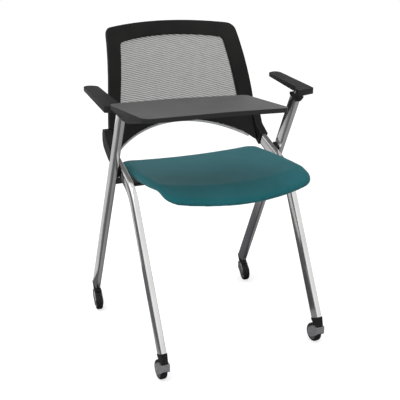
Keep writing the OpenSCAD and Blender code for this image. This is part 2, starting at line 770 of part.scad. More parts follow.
// Armrest: flat on top, thicker to the front, widened over the post
arm_outer_x = outer_x + arm_out;
arm_inner_x = arm_outer_x - arm_w;
arm_flare = tube_w * 0.7;
arm_nose_y = arm_front_y - tube_w * 0.8;
arm_run = arm_rear_y - arm_nose_y;
function arm_under(y) = arm_front_z - arm_front_t
    + (arm_rear_z - arm_rear_t - arm_front_z + arm_front_t) * (y - arm_nose_y) / arm_run;
module armrest(side) {
    color("#2b2b2b")
        difference() {
            intersection() {
                translate([0, 0, arm_front_z - 2 * arm_front_t])
                    linear_extrude(arm_rear_z - arm_front_z + 4 * arm_front_t)
                        scale_side(side)
                            polygon(rounded([[arm_outer_x, arm_front_y, tube_r],
                                             [arm_outer_x - tube_wall, arm_rear_y, tube_w],
                                             [arm_inner_x + tube_wall, arm_rear_y - tube_w, tube_w],
                                             [arm_inner_x, arm_nose_y + tube_d, tube_w],
                                             [arm_inner_x - arm_flare, arm_nose_y + tube_w, tube_r],
                                             [arm_inner_x - arm_flare, arm_nose_y, tube_r]]));
                side_plate(side * (arm_outer_x + arm_inner_x) / 2, 2 * arm_w,
                           [[arm_rear_y + cut, arm_rear_z], [arm_nose_y - cut, arm_front_z],
                            [arm_nose_y - cut, arm_under(arm_nose_y - cut)],
                            [arm_rear_y + cut, arm_under(arm_rear_y + cut)]]);
            }
            translate([side * outer_x, post_top_y, arm_front_z - 3 * arm_front_t])
                cylinder(h = 2.6 * arm_front_t, d = arm_screw_d);
        }
}
// The plan is drawn for the left side and turned over for the right one
module scale_side(side) {
    if (side == RIGHT)
        mirror([1, 0, 0]) children();
    else
        children();
}
module armrest_right() { armrest(RIGHT); }
module armrest_left() { armrest(LEFT); }

// Cap between the post's end and the armrest, with a spigot inside the tube.
// On the tablet's side its nose also holds the spindle.
spigot_w = tube_w - 2 * tube_wall - 2 * plug_fit;
spigot_d = tube_d - 2 * tube_wall - 2 * plug_fit;
spigot_len = tube_d * 0.8;
nose_y = arm_nose_y;
spindle_z = arm_under(nose_y) - spindle_d * 0.8;
module arm_cap(side) {
    rear = beside(post_top_y, post_top_z, rear_dir, 0, -tube_d / 2);
    front = beside(post_top_y, post_top_z, rear_dir, 0, tube_d / 2);
    low = side == RIGHT ? front.y : arm_under(nose_y) - tube_r;
    color("#161616")
        difference() {
            union() {
                side_plate(side * outer_x, tube_w,
                           [[rear.x, rear.y], [rear.x, arm_under(rear.x)], [nose_y, arm_under(nose_y)],
                            [nose_y, low], [front.x, front.y]]);
                side_plane(side * outer_x)
                    along(post_top_y - spigot_len * cos(rear_dir), post_top_z - spigot_len * sin(rear_dir),
                          rear_dir, spigot_len)
                        rounded_rect(spigot_w, spigot_d, tube_r - tube_wall);
            }
            translate([side * outer_x, post_top_y, post_top_z - tube_d / 2])
                cylinder(h = 2 * tube_d, d = arm_screw_d);
            if (side == RIGHT)
                spindle_bar(nose_y + spindle_d, 2 * spindle_d, spindle_d);
        }
}
module arm_cap_right() { arm_cap(RIGHT); }
module arm_cap_left() { arm_cap(LEFT); }

module arm_screws() {
    color("dimgray")
        for (side = [RIGHT, LEFT])
            translate([side * outer_x, post_top_y, post_top_z - tube_d / 2])
                cylinder(h = arm_front_z - 0.4 * arm_front_t - post_top_z + tube_d / 2, d = arm_screw_d);
}

// Round bar along the depth on the tablet's axis, from a rear end forwards
module spindle_bar(rear, len, d) {
    translate([RIGHT * outer_x, rear, spindle_z])
        rotate([90, 0, 0])
            cylinder(h = len, d = d);
}

// Steel spindle in the arm cap's nose, with a retaining head
spindle_head_d = spindle_d * 1.6;
module tablet_spindle() {
    color("silver") {
        spindle_bar(nose_y + spindle_d, spindle_d + spindle_len, spindle_d);
        spindle_bar(nose_y - spindle_len, spindle_d / 3, spindle_head_d);
    }
}

// Plan of the tablet: rounded at the corners, gently bowed along its long edges
tablet_rear_y = nose_y - side_fit;
tablet_x = RIGHT * (outer_x + tablet_out);
tablet_plan_shares = [[0, 0], [0.45, 0.005], [0.955, 0.15], [1, 1], [0.62, 0.915], [0.045, 0.88]];
tablet_radius_shares = [1, 40, 1.1, 0.8, 40, 1.7];
tablet_under_z = tablet_z - tablet_t;
function tablet_spot(share) = [tablet_x + share.x * tablet_w, tablet_rear_y - share.y * tablet_depth];
tablet_plan = rounded([for (i = [0 : len(tablet_plan_shares) - 1])
    [each tablet_spot(tablet_plan_shares[i]), tablet_radius_shares[i] * tablet_corner_r]]);
tablet_screw_shares = [[0.09, 0.45], [0.09, 0.68], [0.12, 0.45], [0.12, 0.68]];

module tablet_top() {
    color("#4a4a4a")
        difference() {
            translate([0, 0, tablet_under_z])
                linear_extrude(tablet_t)
                    polygon(tablet_plan);
            for (share = tablet_screw_shares)
                translate([each tablet_spot(share), tablet_under_z - cut])
                    cylinder(h = cut + tablet_t / 2, d = arm_screw_d);
        }
}

// Wedge under the tablet's edge, deep at the spindle and running out to the front
tablet_foot_shares = [[0.015, 0.01], [0.052, 0.8], [0.16, 0.8], [0.16, 0.01]];
module tablet_arm() {
    spine = nose_y - side_fit;
    low_z = spindle_z - arm_below;
    color("#3c3c3c")
        difference() {
            hull() {
                translate([0, 0, tablet_under_z - tube_wall])
                    linear_extrude(tube_wall)
                        polygon([for (share = tablet_foot_shares) tablet_spot(share)]);
                translate([RIGHT * outer_x - tube_w / 2, spine - tube_d, low_z])
                    cube([tube_w, tube_d, spindle_z - low_z]);
            }
            spindle_bar(spine + cut, 2 * cut + spindle_len, spindle_d + 2 * turn_fit);
            spindle_bar(nose_y - spindle_len + side_fit, 2 * spindle_d, spindle_head_d + 2 * side_fit);
            for (share = tablet_screw_shares)
                translate([each tablet_spot(share), 0]) {
                    cylinder(h = tablet_z, d = arm_screw_d);
                    cylinder(h = tablet_under_z - arm_screw_d, d = 2 * arm_screw_d);
                }
        }
}

module tablet_screws() {
    color("dimgray")
        for (share = tablet_screw_shares)
            translate([each tablet_spot(share), tablet_under_z - arm_screw_d - fork_t]) {
                cylinder(h = fork_t, d = 2 * arm_screw_d - side_fit);
                cylinder(h = fork_t + arm_screw_d + tablet_t / 2, d = arm_screw_d);
            }
}

// Plug in a leg's lower end, whose sole is level and takes the caster's stem
module leg_plug(side, x, foot_y, foot_z, dir, stem_y) {
    rear = beside(foot_y, foot_z, dir, 0, -tube_d / 2);
    front = beside(foot_y, foot_z, dir, 0, tube_d / 2);
    sole = stem_d * 1.45;
    toe = rear.x > front.x ? [rear, front] : [front, rear];
    color("#161616")
        difference() {
            union() {
                side_plate(side * x, tube_w,
                           [toe[0], toe[1], [stem_y - sole, plug_z], [stem_y + sole, plug_z]]);
                side_plane(side * x)
                    along(foot_y, foot_z, dir, spigot_len)
                        rounded_rect(spigot_w, spigot_d, tube_r - tube_wall);
            }
            translate([side * x, stem_y, plug_z - cut])
                cylinder(h = stem_len + 2 * cut, d = stem_d + 2 * turn_fit);
        }
}
module plug_front_right() { leg_plug(RIGHT, inner_x, front_foot_y, front_foot_z, front_dir, front_stem_y); }
module plug_front_left() { leg_plug(LEFT, inner_x, front_foot_y, front_foot_z, front_dir, front_stem_y); }
module plug_rear_right() { leg_plug(RIGHT, outer_x, rear_foot_y, rear_foot_z, rear_dir, rear_stem_y); }
module plug_rear_left() { leg_plug(LEFT, outer_x, rear_foot_y, rear_foot_z, rear_dir, rear_stem_y); }

// Stands its children on a caster's stem axis, with the wheel trailing along their own +X
module at_front(side) {
    translate([side * inner_x, front_stem_y, 0])
        rotate([0, 0, front_heading])
            children();
}
module at_rear(side) {
    translate([side * outer_x, rear_stem_y, 0])
        rotate([0, 0, rear_heading])
            children();
}

// Pressed steel fork: a crown plate, a closed nose and two cheeks that run back to the axle
fork_hw = wheel_w / 2 + side_fit + fork_t + side_fit;
fork_nose = stem_d * 1.5;
axle_z = wheel_d / 2;
module caster_fork() {
    reach = trail + axle_d * 1.8;
    crown_z = fork_top_z - fork_t;
    cheek = rounded([[-fork_nose, fork_top_z, fork_t], [stem_d, fork_top_z, fork_t],
                     [reach, axle_z + axle_d * 1.6, axle_d], [reach, axle_z - axle_d, axle_d],
                     [trail, axle_z - axle_d * 2.2, axle_d], [-fork_nose, axle_z + axle_d, fork_t]]);
    color("#8a8a8a")
        difference() {
            union() {
                for (y = [-fork_hw, fork_hw - fork_t])
                    translate([0, y + fork_t, 0])
                        rotate([90, 0, 0])
                            linear_extrude(fork_t)
                                polygon(cheek);
                translate([-fork_nose + fork_t / 2, -fork_hw, crown_z])
                    cube([fork_nose + stem_d - fork_t, 2 * fork_hw, fork_t]);
                translate([-fork_nose, -fork_hw, axle_z + axle_d + fork_t])
                    cube([fork_t, 2 * fork_hw, crown_z - axle_z - axle_d - fork_t + fork_t / 2]);
            }
            translate([0, 0, crown_z - cut])
                cylinder(h = fork_t + 2 * cut, d = stem_d);
            translate([trail, 2 * fork_hw, axle_z])
                rotate([90, 0, 0])
                    cylinder(h = 4 * fork_hw, d = axle_d);
        }
}
module fork_front_right() { at_front(RIGHT) caster_fork(); }
module fork_front_left() { at_front(LEFT) caster_fork(); }
module fork_rear_right() { at_rear(RIGHT) caster_fork(); }
module fork_rear_left() { at_rear(LEFT) caster_fork(); }

// Stem riveted into the fork's crown
module caster_stem() {
    crown_z = fork_top_z - fork_t;
    color("silver") {
        translate([0, 0, crown_z])
            cylinder(h = fork_t + side_fit + stem_len, d = stem_d);
        translate([0, 0, crown_z - fork_t / 2])
            cylinder(h = fork_t / 2, d = stem_d * 1.4);
    }
}
module stem_front_right() { at_front(RIGHT) caster_stem(); }
module stem_front_left() { at_front(LEFT) caster_stem(); }
module stem_rear_right() { at_rear(RIGHT) caster_stem(); }
module stem_rear_left() { at_rear(LEFT) caster_stem(); }

// Lies its children's Z axis along the wheel's axle
module on_axle() {
    translate([trail, 0, axle_z])
        rotate([90, 0, 0])
            children();
}

module caster_axle() {
    color("silver")
        on_axle() {
            cylinder(h = 2 * fork_hw, d = axle_d, center = true);
            for (end = [-1, 1])
                translate([0, 0, end * (fork_hw + fork_t / 4)])
                    cylinder(h = fork_t / 2, d = axle_d * 1.6, center = true);
        }
}
module axle_front_right() { at_front(RIGHT) caster_axle(); }
module axle_front_left() { at_front(LEFT) caster_axle(); }
module axle_rear_right() { at_rear(RIGHT) caster_axle(); }
module axle_rear_left() { at_rear(LEFT) caster_axle(); }

// Wheel body with a dished face, and the tyre around it
hub_r = wheel_d * 0.37;
module wheel_hub() {
    half = wheel_w / 2;
    dish = wheel_w / 6;
    boss = axle_d;
    color("#6e6e6e")
        on_axle()
            rotate_extrude()
                polygon([[axle_d / 2 + turn_fit, -half], [boss, -half], [boss + dish, dish - half],
                         [hub_r - dish, dish - half], [hub_r - dish / 2, -half], [hub_r, -half],
                         [hub_r, half], [hub_r - dish / 2, half], [hub_r - dish, half - dish],
                         [boss + dish, half - dish], [boss, half], [axle_d / 2 + turn_fit, half]]);
}
module hub_front_right() { at_front(RIGHT) wheel_hub(); }
module hub_front_left() { at_front(LEFT) wheel_hub(); }
module hub_rear_right() { at_rear(RIGHT) wheel_hub(); }
module hub_rear_left() { at_rear(LEFT) wheel_hub(); }

module wheel_tyre() {
    half = wheel_w / 2;
    round = wheel_w / 3;
    color("#141414")
        on_axle()
            rotate_extrude()
                polygon(rounded([[hub_r, -half, 0], [wheel_d / 2, -half, round],
                                 [wheel_d / 2, half, round], [hub_r, half, 0]]));
}
module tyre_front_right() { at_front(RIGHT) wheel_tyre(); }
module tyre_front_left() { at_front(LEFT) wheel_tyre(); }
module tyre_rear_right() { at_rear(RIGHT) wheel_tyre(); }
module tyre_rear_left() { at_rear(LEFT) wheel_tyre(); }

front_tube_right();
front_tube_left();
rear_tube_right();
rear_tube_left();
crossing_plate_right();
crossing_plate_left();
pivot_bolts();
pivot_nuts();
cross_shaft();
shaft_screws();
seat_cushion();
seat_pan();
seat_bearing_right();
seat_bearing_left();
seat_screws();
seat_rest_right();
seat_rest_left();
rest_pads();
back_frame();
back_mesh();
back_socket_right();
back_socket_left();
back_rod();
socket_screws();
armrest_right();
armrest_left();
arm_cap_right();
arm_cap_left();
arm_screws();
tablet_top();
tablet_arm();
tablet_spindle();
tablet_screws();
plug_front_right();
plug_front_left();
plug_rear_right();
plug_rear_left();
fork_front_right();
fork_front_left();
fork_rear_right();
fork_rear_left();
stem_front_right();
stem_front_left();
stem_rear_right();
stem_rear_left();
axle_front_right();
axle_front_left();
axle_rear_right();
axle_rear_left();
hub_front_right();
hub_front_left();
hub_rear_right();
hub_rear_left();
tyre_front_right();
tyre_front_left();
tyre_rear_right();
tyre_rear_left();
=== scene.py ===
"""Nesting chair with crossed bright tubes, a teal seat, a net back and a writing tablet.

Sizes are in metres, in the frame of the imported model.
"""

import math

import bmesh
import bpy
import numpy as np
from mathutils import Matrix, Vector


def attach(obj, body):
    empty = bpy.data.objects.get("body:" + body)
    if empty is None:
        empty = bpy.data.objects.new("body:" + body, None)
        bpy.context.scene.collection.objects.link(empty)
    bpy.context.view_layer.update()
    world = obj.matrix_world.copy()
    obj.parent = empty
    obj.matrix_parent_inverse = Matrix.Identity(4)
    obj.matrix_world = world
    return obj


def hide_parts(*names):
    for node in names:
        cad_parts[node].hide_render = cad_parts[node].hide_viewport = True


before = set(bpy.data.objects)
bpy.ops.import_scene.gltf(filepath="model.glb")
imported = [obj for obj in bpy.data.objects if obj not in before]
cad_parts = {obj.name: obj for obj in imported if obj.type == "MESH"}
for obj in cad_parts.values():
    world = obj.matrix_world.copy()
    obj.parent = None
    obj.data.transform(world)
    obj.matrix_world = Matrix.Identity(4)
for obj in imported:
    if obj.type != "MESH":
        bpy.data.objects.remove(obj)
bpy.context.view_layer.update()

# Bright frame tubes
# Flattened steel tube, 16 mm by 34 mm, bent once at the knee on the front pair and straight on
# the rear pair. Polished, then plated with nickel and chromium; the ends are sawn square and
# plugged. Their broad faces are drawn slightly convex.
TUBE_WIDTH, TUBE_DEPTH, TUBE_CORNER, TUBE_CROWN = 0.016, 0.034, 0.004, 0.0012
FRONT_X, REAR_X = 0.223, 0.243
FRONT_FOOT, KNEE = np.array([-0.2173, 0.0722]), np.array([-0.0398, 0.4351])
REAR_FOOT, POST_TOP = np.array([0.240, 0.0668]), np.array([-0.0355, 0.630])
RUN_RISE, RUN_LENGTH, KNEE_RADIUS = math.radians(23.2), 0.156, 0.090
LEG_STEPS, KNEE_STEPS, RUN_STEPS, REAR_STEPS = 12, 25, 8, 20
SIDES = {"right": -1, "left": 1}


def linear(shade):
    """Linear light of an sRGB hex colour: ((s + 0.055) / 1.055) ** 2.4, or s / 12.92 up to 0.04045."""
    s = np.array([int(shade[i:i + 2], 16) / 255 for i in (1, 3, 5)])
    return (*np.where(s > 0.04045, ((s + 0.055) / 1.055) ** 2.4, s / 12.92), 1.0)


def add_node(tree, kind, inputs=None, **settings):
    """Adds a shader node; settings are its attributes, and each input takes a value or a socket."""
    node = tree.nodes.new("ShaderNode" + kind)
    for name, value in settings.items():
        setattr(node, name, value)
    for name, value in (inputs or {}).items():
        if isinstance(value, bpy.types.NodeSocket):
            tree.links.new(value, node.inputs[name])
        else:
            node.inputs[name].default_value = value
    return node


def start_material(name):
    """A material with an empty Principled shader: (material, tree, shader, Object coordinates)."""
    material = bpy.data.materials.new(name)
    material.use_nodes = True
    tree = material.node_tree
    tree.nodes.clear()
    shader = add_node(tree, "BsdfPrincipled")
    add_node(tree, "OutputMaterial", {"Surface": shader.outputs["BSDF"]})
    return material, tree, shader, add_node(tree, "TexCoord").outputs["Object"]


def vary(tree, place, scale, dark, light, detail=3.0):
    """Colour that drifts between two hex shades with a noise of scale features per metre."""
    noise = add_node(tree, "TexNoise", {"Vector": place, "Scale": scale, "Detail": detail})
    ramp = add_node(tree, "ValToRGB", {"Fac": noise.outputs["Fac"]})
    for stop, position, shade in zip(ramp.color_ramp.elements, (0.35, 0.65), (dark, light)):
        stop.position = position
        stop.color = linear(shade)
    return ramp.outputs["Color"]


def relief(tree, shader, height, depth):
    """Bumps of that depth in metres, from a height between 0 and 1."""
    bump = add_node(tree, "Bump", {"Height": height, "Distance": depth, "Strength": 1.0})
    tree.links.new(bump.outputs["Normal"], shader.inputs["Normal"])


def grained(tree, shader, pattern, glossy, dull, depth):
    """Roughness from glossy to dull and bumps of that depth, both following a pattern between 0 and 1."""
    finish = add_node(tree, "MapRange", {"Value": pattern, "To Min": glossy, "To Max": dull})
    tree.links.new(finish.outputs["Result"], shader.inputs["Roughness"])
    relief(tree, shader, pattern, depth)


def set_piece(name, points, faces, material, body, slot, *nodes, smooth=35.0):
    """A mesh piece that rides on body and stands for nodes, shaded smooth across edges under that angle."""
    mesh = bpy.data.meshes.new(name)
    mesh.from_pydata(np.asarray(points, float).reshape(-1, 3).tolist(), [], faces)
    mesh.update()
    mesh.shade_smooth()
    mesh.set_sharp_from_angle(angle=math.radians(smooth))
    mesh.materials.append(material)
    piece = bpy.data.objects.new(name, mesh)
    bpy.context.scene.collection.objects.link(piece)
    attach(piece, body)
    if nodes:
        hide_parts(*nodes)
    return piece


def grid_faces(rows, columns, ring=True, loop=False):
    """Quads over a grid of points: ring closes each row on itself, loop the last row on the first."""
    i, j = np.meshgrid(np.arange(rows if loop else rows - 1),
                       np.arange(columns if ring else columns - 1), indexing="ij")
    up, on = (i + 1) % rows, (j + 1) % columns
    quads = np.stack([i * columns + j, i * columns + on, up * columns + on, up * columns + j], -1)
    return quads.reshape(-1, 4).tolist()


def closed_faces(rows, columns, turned):
    """Quads over a row of rings, and one face over each end; turned lists them all the other way round."""
    faces = grid_faces(rows, columns)
    faces += [list(range(columns))[::-1], list(range((rows - 1) * columns, rows * columns))]
    return [face[::-1] for face in faces] if turned else faces


def round_rectangle(width, depth, radius, steps=8):
    """Ring of a rectangle whose corners are quarter circles: centre of corner + radius (cos a, sin a)."""
    a = np.linspace(0, math.pi / 2, steps)
    turns = np.concatenate([a + k * math.pi / 2 for k in range(4)])
    across = np.repeat([1, -1, -1, 1], steps) * (width / 2 - radius)
    along = np.repeat([1, 1, -1, -1], steps) * (depth / 2 - radius)
    return np.stack([across + radius * np.cos(turns), along + radius * np.sin(turns)], -1)


def carried(ring, centres, upright):
    """A ring (w, d) carried along centres (y, z), its ends closed: x = w, (y, z) = centre + d * upright."""
    rows, columns = len(centres), len(ring)
    points = np.zeros((rows, columns, 3))
    points[..., 0] = ring[None, :, 0]
    points[..., 1:] = centres[:, None] + ring[None, :, 1, None] * upright[:, None]
    return points, closed_faces(rows, columns, turned=True)


plated, tree, shader, place = start_material("nickel_chrome_plate")
# Nickel and chromium plate over polished steel: a clear mirror, a little greyer than white.
# Polishing lines run along the tube, about 0.4 mm apart, drawn 3 mm apart so that they show.
lines = add_node(tree, "Mapping", {"Vector": place, "Scale": (330.0, 12.0, 12.0)})
polish = add_node(tree, "TexNoise", {"Vector": lines.outputs["Vector"], "Scale": 1.0, "Detail": 4.0})
tree.links.new(vary(tree, place, 9.0, "#d2d1d0", "#dedddc"), shader.inputs["Base Color"])
shader.inputs["Metallic"].default_value = 1.0
grained(tree, shader, polish.outputs["Fac"], 0.10, 0.20, 0.00002)


def crowned(ring, fall):
    """Ring with convex broad faces: x' = x (1 - fall (y / half depth)^2 / half width).

    A side longer than 10 mm is first cut in nine, so that it can curve.
    """
    path = np.concatenate([ring, ring[:1]])
    cuts = np.where(np.linalg.norm(np.diff(path, axis=0), axis=1) > 0.010, 9, 1)
    fine = np.concatenate([path[k] + np.arange(n)[:, None] / n * (path[k + 1] - path[k])
                           for k, n in enumerate(cuts)])
    half_width, half_depth = np.abs(ring).max(axis=0)
    fine[:, 0] *= 1 - fall * (fine[:, 1] / half_depth) ** 2 / half_width
    return fine


tube_ring = crowned(round_rectangle(TUBE_WIDTH, TUBE_DEPTH, TUBE_CORNER), TUBE_CROWN)
leg = (KNEE - FRONT_FOOT) / np.linalg.norm(KNEE - FRONT_FOOT)
run = np.array([math.cos(RUN_RISE), math.sin(RUN_RISE)])
knee_turn = math.acos(leg @ run)
cut_back = KNEE_RADIUS * math.tan(knee_turn / 2)
heading = math.atan2(leg[1], leg[0]) - np.linspace(0, knee_turn, KNEE_STEPS)
knee_centre = KNEE - cut_back * leg + KNEE_RADIUS * np.array([leg[1], -leg[0]])
knee_upright = np.stack([-np.sin(heading), np.cos(heading)], -1)
# The run ends 12 mm before its solid does, inside the socket, where it isn't seen.
front_centres = np.concatenate([
    FRONT_FOOT + np.linspace(0, 1, LEG_STEPS)[:-1, None] * (KNEE - cut_back * leg - FRONT_FOOT),
    knee_centre + KNEE_RADIUS * knee_upright,
    KNEE + np.linspace(cut_back, RUN_LENGTH, RUN_STEPS)[1:, None] * run])
front_upright = np.concatenate([np.repeat(knee_upright[:1], LEG_STEPS - 1, 0), knee_upright,
                                np.repeat(knee_upright[-1:], RUN_STEPS - 1, 0)])
post = (POST_TOP - REAR_FOOT) / np.linalg.norm(POST_TOP - REAR_FOOT)
rear_centres = REAR_FOOT + np.linspace(0, 1, REAR_STEPS)[:, None] * (POST_TOP - REAR_FOOT)
rear_upright = np.repeat([[-post[1], post[0]]], REAR_STEPS, 0)
for side, sign in SIDES.items():
    points, faces = carried(tube_ring, front_centres, front_upright)
    set_piece("bright_front_tube_" + side, points + [sign * FRONT_X, 0, 0], faces, plated,
              "front_frame", "bright_tube", "front_tube_" + side)
    points, faces = carried(tube_ring, rear_centres, rear_upright)
    set_piece("bright_rear_tube_" + side, points + [sign * REAR_X, 0, 0], faces, plated,
              "rear_frame", "bright_tube", "rear_tube_" + side)

# Crossing plates, tube plugs and bearing blocks
# Injection-moulded nylon, black all through, with the fine spark-eroded grain of its mould.
# The plates are clipped to the front tubes, the plugs are driven into the sawn tube ends and
# the bearing blocks are screwed up under the seat pan round the cross shaft.
moulded, tree, shader, place = start_material("black_grained_nylon")
# Grain of 0.3 mm, drawn at 1 mm; it breaks the highlight up and leaves the black slightly grey.
grain = add_node(tree, "TexNoise", {"Vector": place, "Scale": 1000.0, "Detail": 2.0})
tree.links.new(vary(tree, place, 30.0, "#131313", "#1a1a19"), shader.inputs["Base Color"])
shader.inputs["Specular IOR Level"].default_value = 0.18
grained(tree, shader, grain.outputs["Fac"], 0.42, 0.60, 0.00006)


def round_edges(piece, edge, corner):
    """Rounds the edges that turn by more than corner degrees, over a width of edge, in three steps."""
    bevel = piece.modifiers.new("round_over", "BEVEL")
    bevel.limit_method = "ANGLE"
    bevel.angle_limit = math.radians(corner)
    bevel.width = edge
    bevel.segments = 3
    bevel.harden_normals = True


def eased(node, body, material, edge, smooth=30.0, doubles=2e-6, flat=0.5):
    """A copy of a CAD node whose edges are rounded over a width of edge metres.

    Its points closer than doubles are merged first, and faces within flat degrees are joined.
    """
    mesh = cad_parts[node].data.copy()
    work = bmesh.new()
    work.from_mesh(mesh)
    bmesh.ops.remove_doubles(work, verts=work.verts, dist=doubles)
    bmesh.ops.dissolve_limit(work, angle_limit=math.radians(flat), verts=work.verts, edges=work.edges)
    work.to_mesh(mesh)
    work.free()
    mesh.materials.clear()
    mesh.materials.append(material)
    mesh.shade_smooth()
    piece = bpy.data.objects.new(node + "_eased", mesh)
    bpy.context.scene.collection.objects.link(piece)
    if edge:
        round_edges(piece, edge, smooth)
    mesh.set_sharp_from_angle(angle=math.radians(smooth))
    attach(piece, body)
    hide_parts(node)
    return piece


# The photograph shows only a narrow part of each plate between the tubes, so the plates are drawn
# smaller than their solids, by these shares of the depth and height.
PLATE_SHARE = np.array([0.62, 0.92])
for side in SIDES:
    plate = eased("crossing_plate_" + side, "front_frame", moulded, edge=0.0008)
    corners = np.empty(len(plate.data.vertices) * 3)
    plate.data.vertices.foreach_get("co", corners)
    corners = corners.reshape(-1, 3)
    core = (corners[:, 1:].max(axis=0) + corners[:, 1:].min(axis=0)) / 2
    corners[:, 1:] = core + PLATE_SHARE * (corners[:, 1:] - core)
    plate.data.vertices.foreach_set("co", corners.ravel())
    plate.data.update()
    eased("plug_front_" + side, "front_frame", moulded, edge=0.0008)
    eased("plug_rear_" + side, "rear_frame", moulded, edge=0.0008)
    eased("seat_bearing_" + side, "seat", moulded, edge=0.0010)

# Bolts, nuts, screws and spindle
# Bought-in steel fasteners with a thin zinc coat, passivated clear: dull silver with a faint
# cloudiness. The pivot bolts are shouldered and run in the rear tubes; the spindle is turned bar.
zinc, tree, shader, place = start_material("clear_zinc_plate")
# Zinc crystals of about 0.5 mm give soft cloudy patches of gloss, drawn at 2 mm.
cloud = add_node(tree, "TexNoise", {"Vector": place, "Scale": 500.0, "Detail": 3.0})
tree.links.new(vary(tree, place, 220.0, "#9a9b9c", "#b4b5b6"), shader.inputs["Base Color"])
shader.inputs["Metallic"].default_value = 1.0
grained(tree, shader, cloud.outputs["Fac"], 0.28, 0.45, 0.00003)
for node, body, edge in (("pivot_bolts", "front_frame", 0.0008), ("pivot_nuts", "front_frame", 0.0006),
                         ("shaft_screws", "rear_frame", 0.0005), ("arm_screws", "rear_frame", 0.0),
                         ("tablet_spindle", "rear_frame", 0.0005), ("socket_screws", "front_frame", 0.0),
                         ("seat_screws", "seat", 0.0004), ("tablet_screws", "tablet", 0.0004)):
    eased(node, body, zinc, edge)

# Cross shaft and seat rests
# Steel tube and pressed steel brackets, powder coated black after cutting and drilling.
# The shaft is bolted between the rear legs; the brackets are riveted to the front tubes.
coated, tree, shader, place = start_material("black_powder_coat")
# Powder that has flowed but not quite levelled: an orange peel of about 2 mm.
peel = add_node(tree, "TexNoise", {"Vector": place, "Scale": 500.0, "Detail": 1.0})
tree.links.new(vary(tree, place, 25.0, "#121212", "#191919"), shader.inputs["Base Color"])
grained(tree, shader, peel.outputs["Fac"], 0.30, 0.42, 0.00008)
eased("cross_shaft", "rear_frame", coated, edge=0.0005)
for side in SIDES:
    eased("seat_rest_" + side, "front_frame", coated, edge=0.0008)

# Seat cushion
# Polyurethane foam on a pan, covered in teal woven polyester that is pulled round the edge and
# stapled below. The top is dished between raised sides, and in front of a clear crease it falls
# away in a waterfall to a thin rounded nose.
SEAT_HALF, SEAT_TAPER, SEAT_REAR, SEAT_FRONT, FRONT_BOW = 0.207, 0.0065, 0.115, -0.247, 0.038
FRONT_CORNER, REAR_CORNER, ROLL, BULGE, NOSE = 0.030, 0.028, 0.007, 0.0015, 0.0085
SEAT_TOP, DISH, SEAT_UNDER, SIDE_LIFT, LIP_THICK, SEAT_FALL = 0.465, 0.015, 0.451, 0.016, 0.018, 0.0175
CREASE, CREASE_BOW, CROWN = 0.071, 0.028, 0.002
WIDEST, PAN_SHARE, PAN_TAPER = 0.4, 0.925, 0.15
EDGE_POINTS, SIDE_POINTS, ROUND_POINTS = 500, 200, 300
VOXEL, FOAM_PRESSURE, FOAM_CAP = 0.004, 4.0, 0.0012


def seat_edges(u):
    """Depth of the front and rear edge at u, -1 to 1 across: bow u^2, and a quarter circle per corner."""
    def drop(radius):
        over = np.clip(np.abs(u) * SEAT_HALF - (SEAT_HALF - radius), 0, radius)
        return radius - np.sqrt(radius ** 2 - over ** 2)
    return SEAT_FRONT + FRONT_BOW * u * u + drop(FRONT_CORNER), SEAT_REAR - drop(REAR_CORNER)


def seat_half(v):
    """Half width at v, 0 at the rear and 1 at the front: half - taper ((v - widest) / (1 - widest))^2."""
    return SEAT_HALF - SEAT_TAPER * ((v - WIDEST) / (1 - WIDEST)) ** 2


def seat_share(x, y):
    """The u and v of a point, found in three rounds because the half width follows v."""
    u = np.clip(x / SEAT_HALF, -1, 1)
    for _ in range(3):
        front, rear = seat_edges(u)
        v = np.clip((rear - y) / (rear - front), 0, 1)
        u = np.clip(x / seat_half(v), -1, 1)
    return u, v


def seat_heights(x, y):
    """Top and underside of the foam.

    top = middle height + dish u^2 + crown - fall, and the fall is a share ((crease y - y) / reach)^1.15.
    The underside is flat over the pan's share of the width, lifts to the sides and follows the fall to
    the thin nose.
    """
    u, v = seat_share(x, y)
    way = np.clip((SEAT_REAR - y) / (SEAT_REAR - SEAT_FRONT - CREASE), 0, 1)
    fall = np.clip((SEAT_FRONT + CREASE + CREASE_BOW * u * u - y) / CREASE, 0, 1) ** 1.15
    dished = SEAT_TOP + DISH * u * u * (0.5 + 0.5 * np.sin(math.pi / 2 * way))
    top = dished + CROWN * (1 - u * u) * np.sin(math.pi * v) - SEAT_FALL * fall
    pan = PAN_SHARE - PAN_TAPER * way ** 2
    lift = SIDE_LIFT * np.clip(np.abs(u) - pan, 0, 1) / (1 - pan) * way ** 2
    return top, (SEAT_UNDER + lift) * (1 - fall) + (dished - SEAT_FALL - LIP_THICK) * fall


# The plan runs along the front edge, up one side, back along the rear edge and down the other side.
sweep = np.sin(np.linspace(-math.pi / 2, math.pi / 2, EDGE_POINTS))
down = np.linspace(1, 0, SIDE_POINTS)[1:-1]
u = np.concatenate([sweep, np.ones(len(down)), sweep[::-1], -np.ones(len(down))])
v = np.concatenate([np.ones(EDGE_POINTS), down, np.zeros(EDGE_POINTS), down[::-1]])
front, rear = seat_edges(u)
path = np.stack([u * seat_half(v), rear + v * (front - rear)], -1)
path = np.concatenate([path, path[:1]])
gone = np.concatenate([[0], np.cumsum(np.linalg.norm(np.diff(path, axis=0), axis=1))])
at = np.linspace(0, gone[-1], ROUND_POINTS, endpoint=False)
plan = np.stack([np.interp(at, gone, path[:, 0]), np.interp(at, gone, path[:, 1])], -1)
middle = np.array([0.0, (SEAT_REAR + SEAT_FRONT) / 2])
inward = middle - plan
inward /= np.linalg.norm(inward, axis=1, keepdims=True)
u, v = seat_share(*plan.T)
set_back = np.stack([0 * v, NOSE * np.clip(2 * v - 1, 0, 1) ** 2 * (1 - 0.6 * u * u)], -1)
edge_top, edge_under = seat_heights(*plan.T)
roll = np.minimum(ROLL, 0.55 * (edge_top - edge_under))
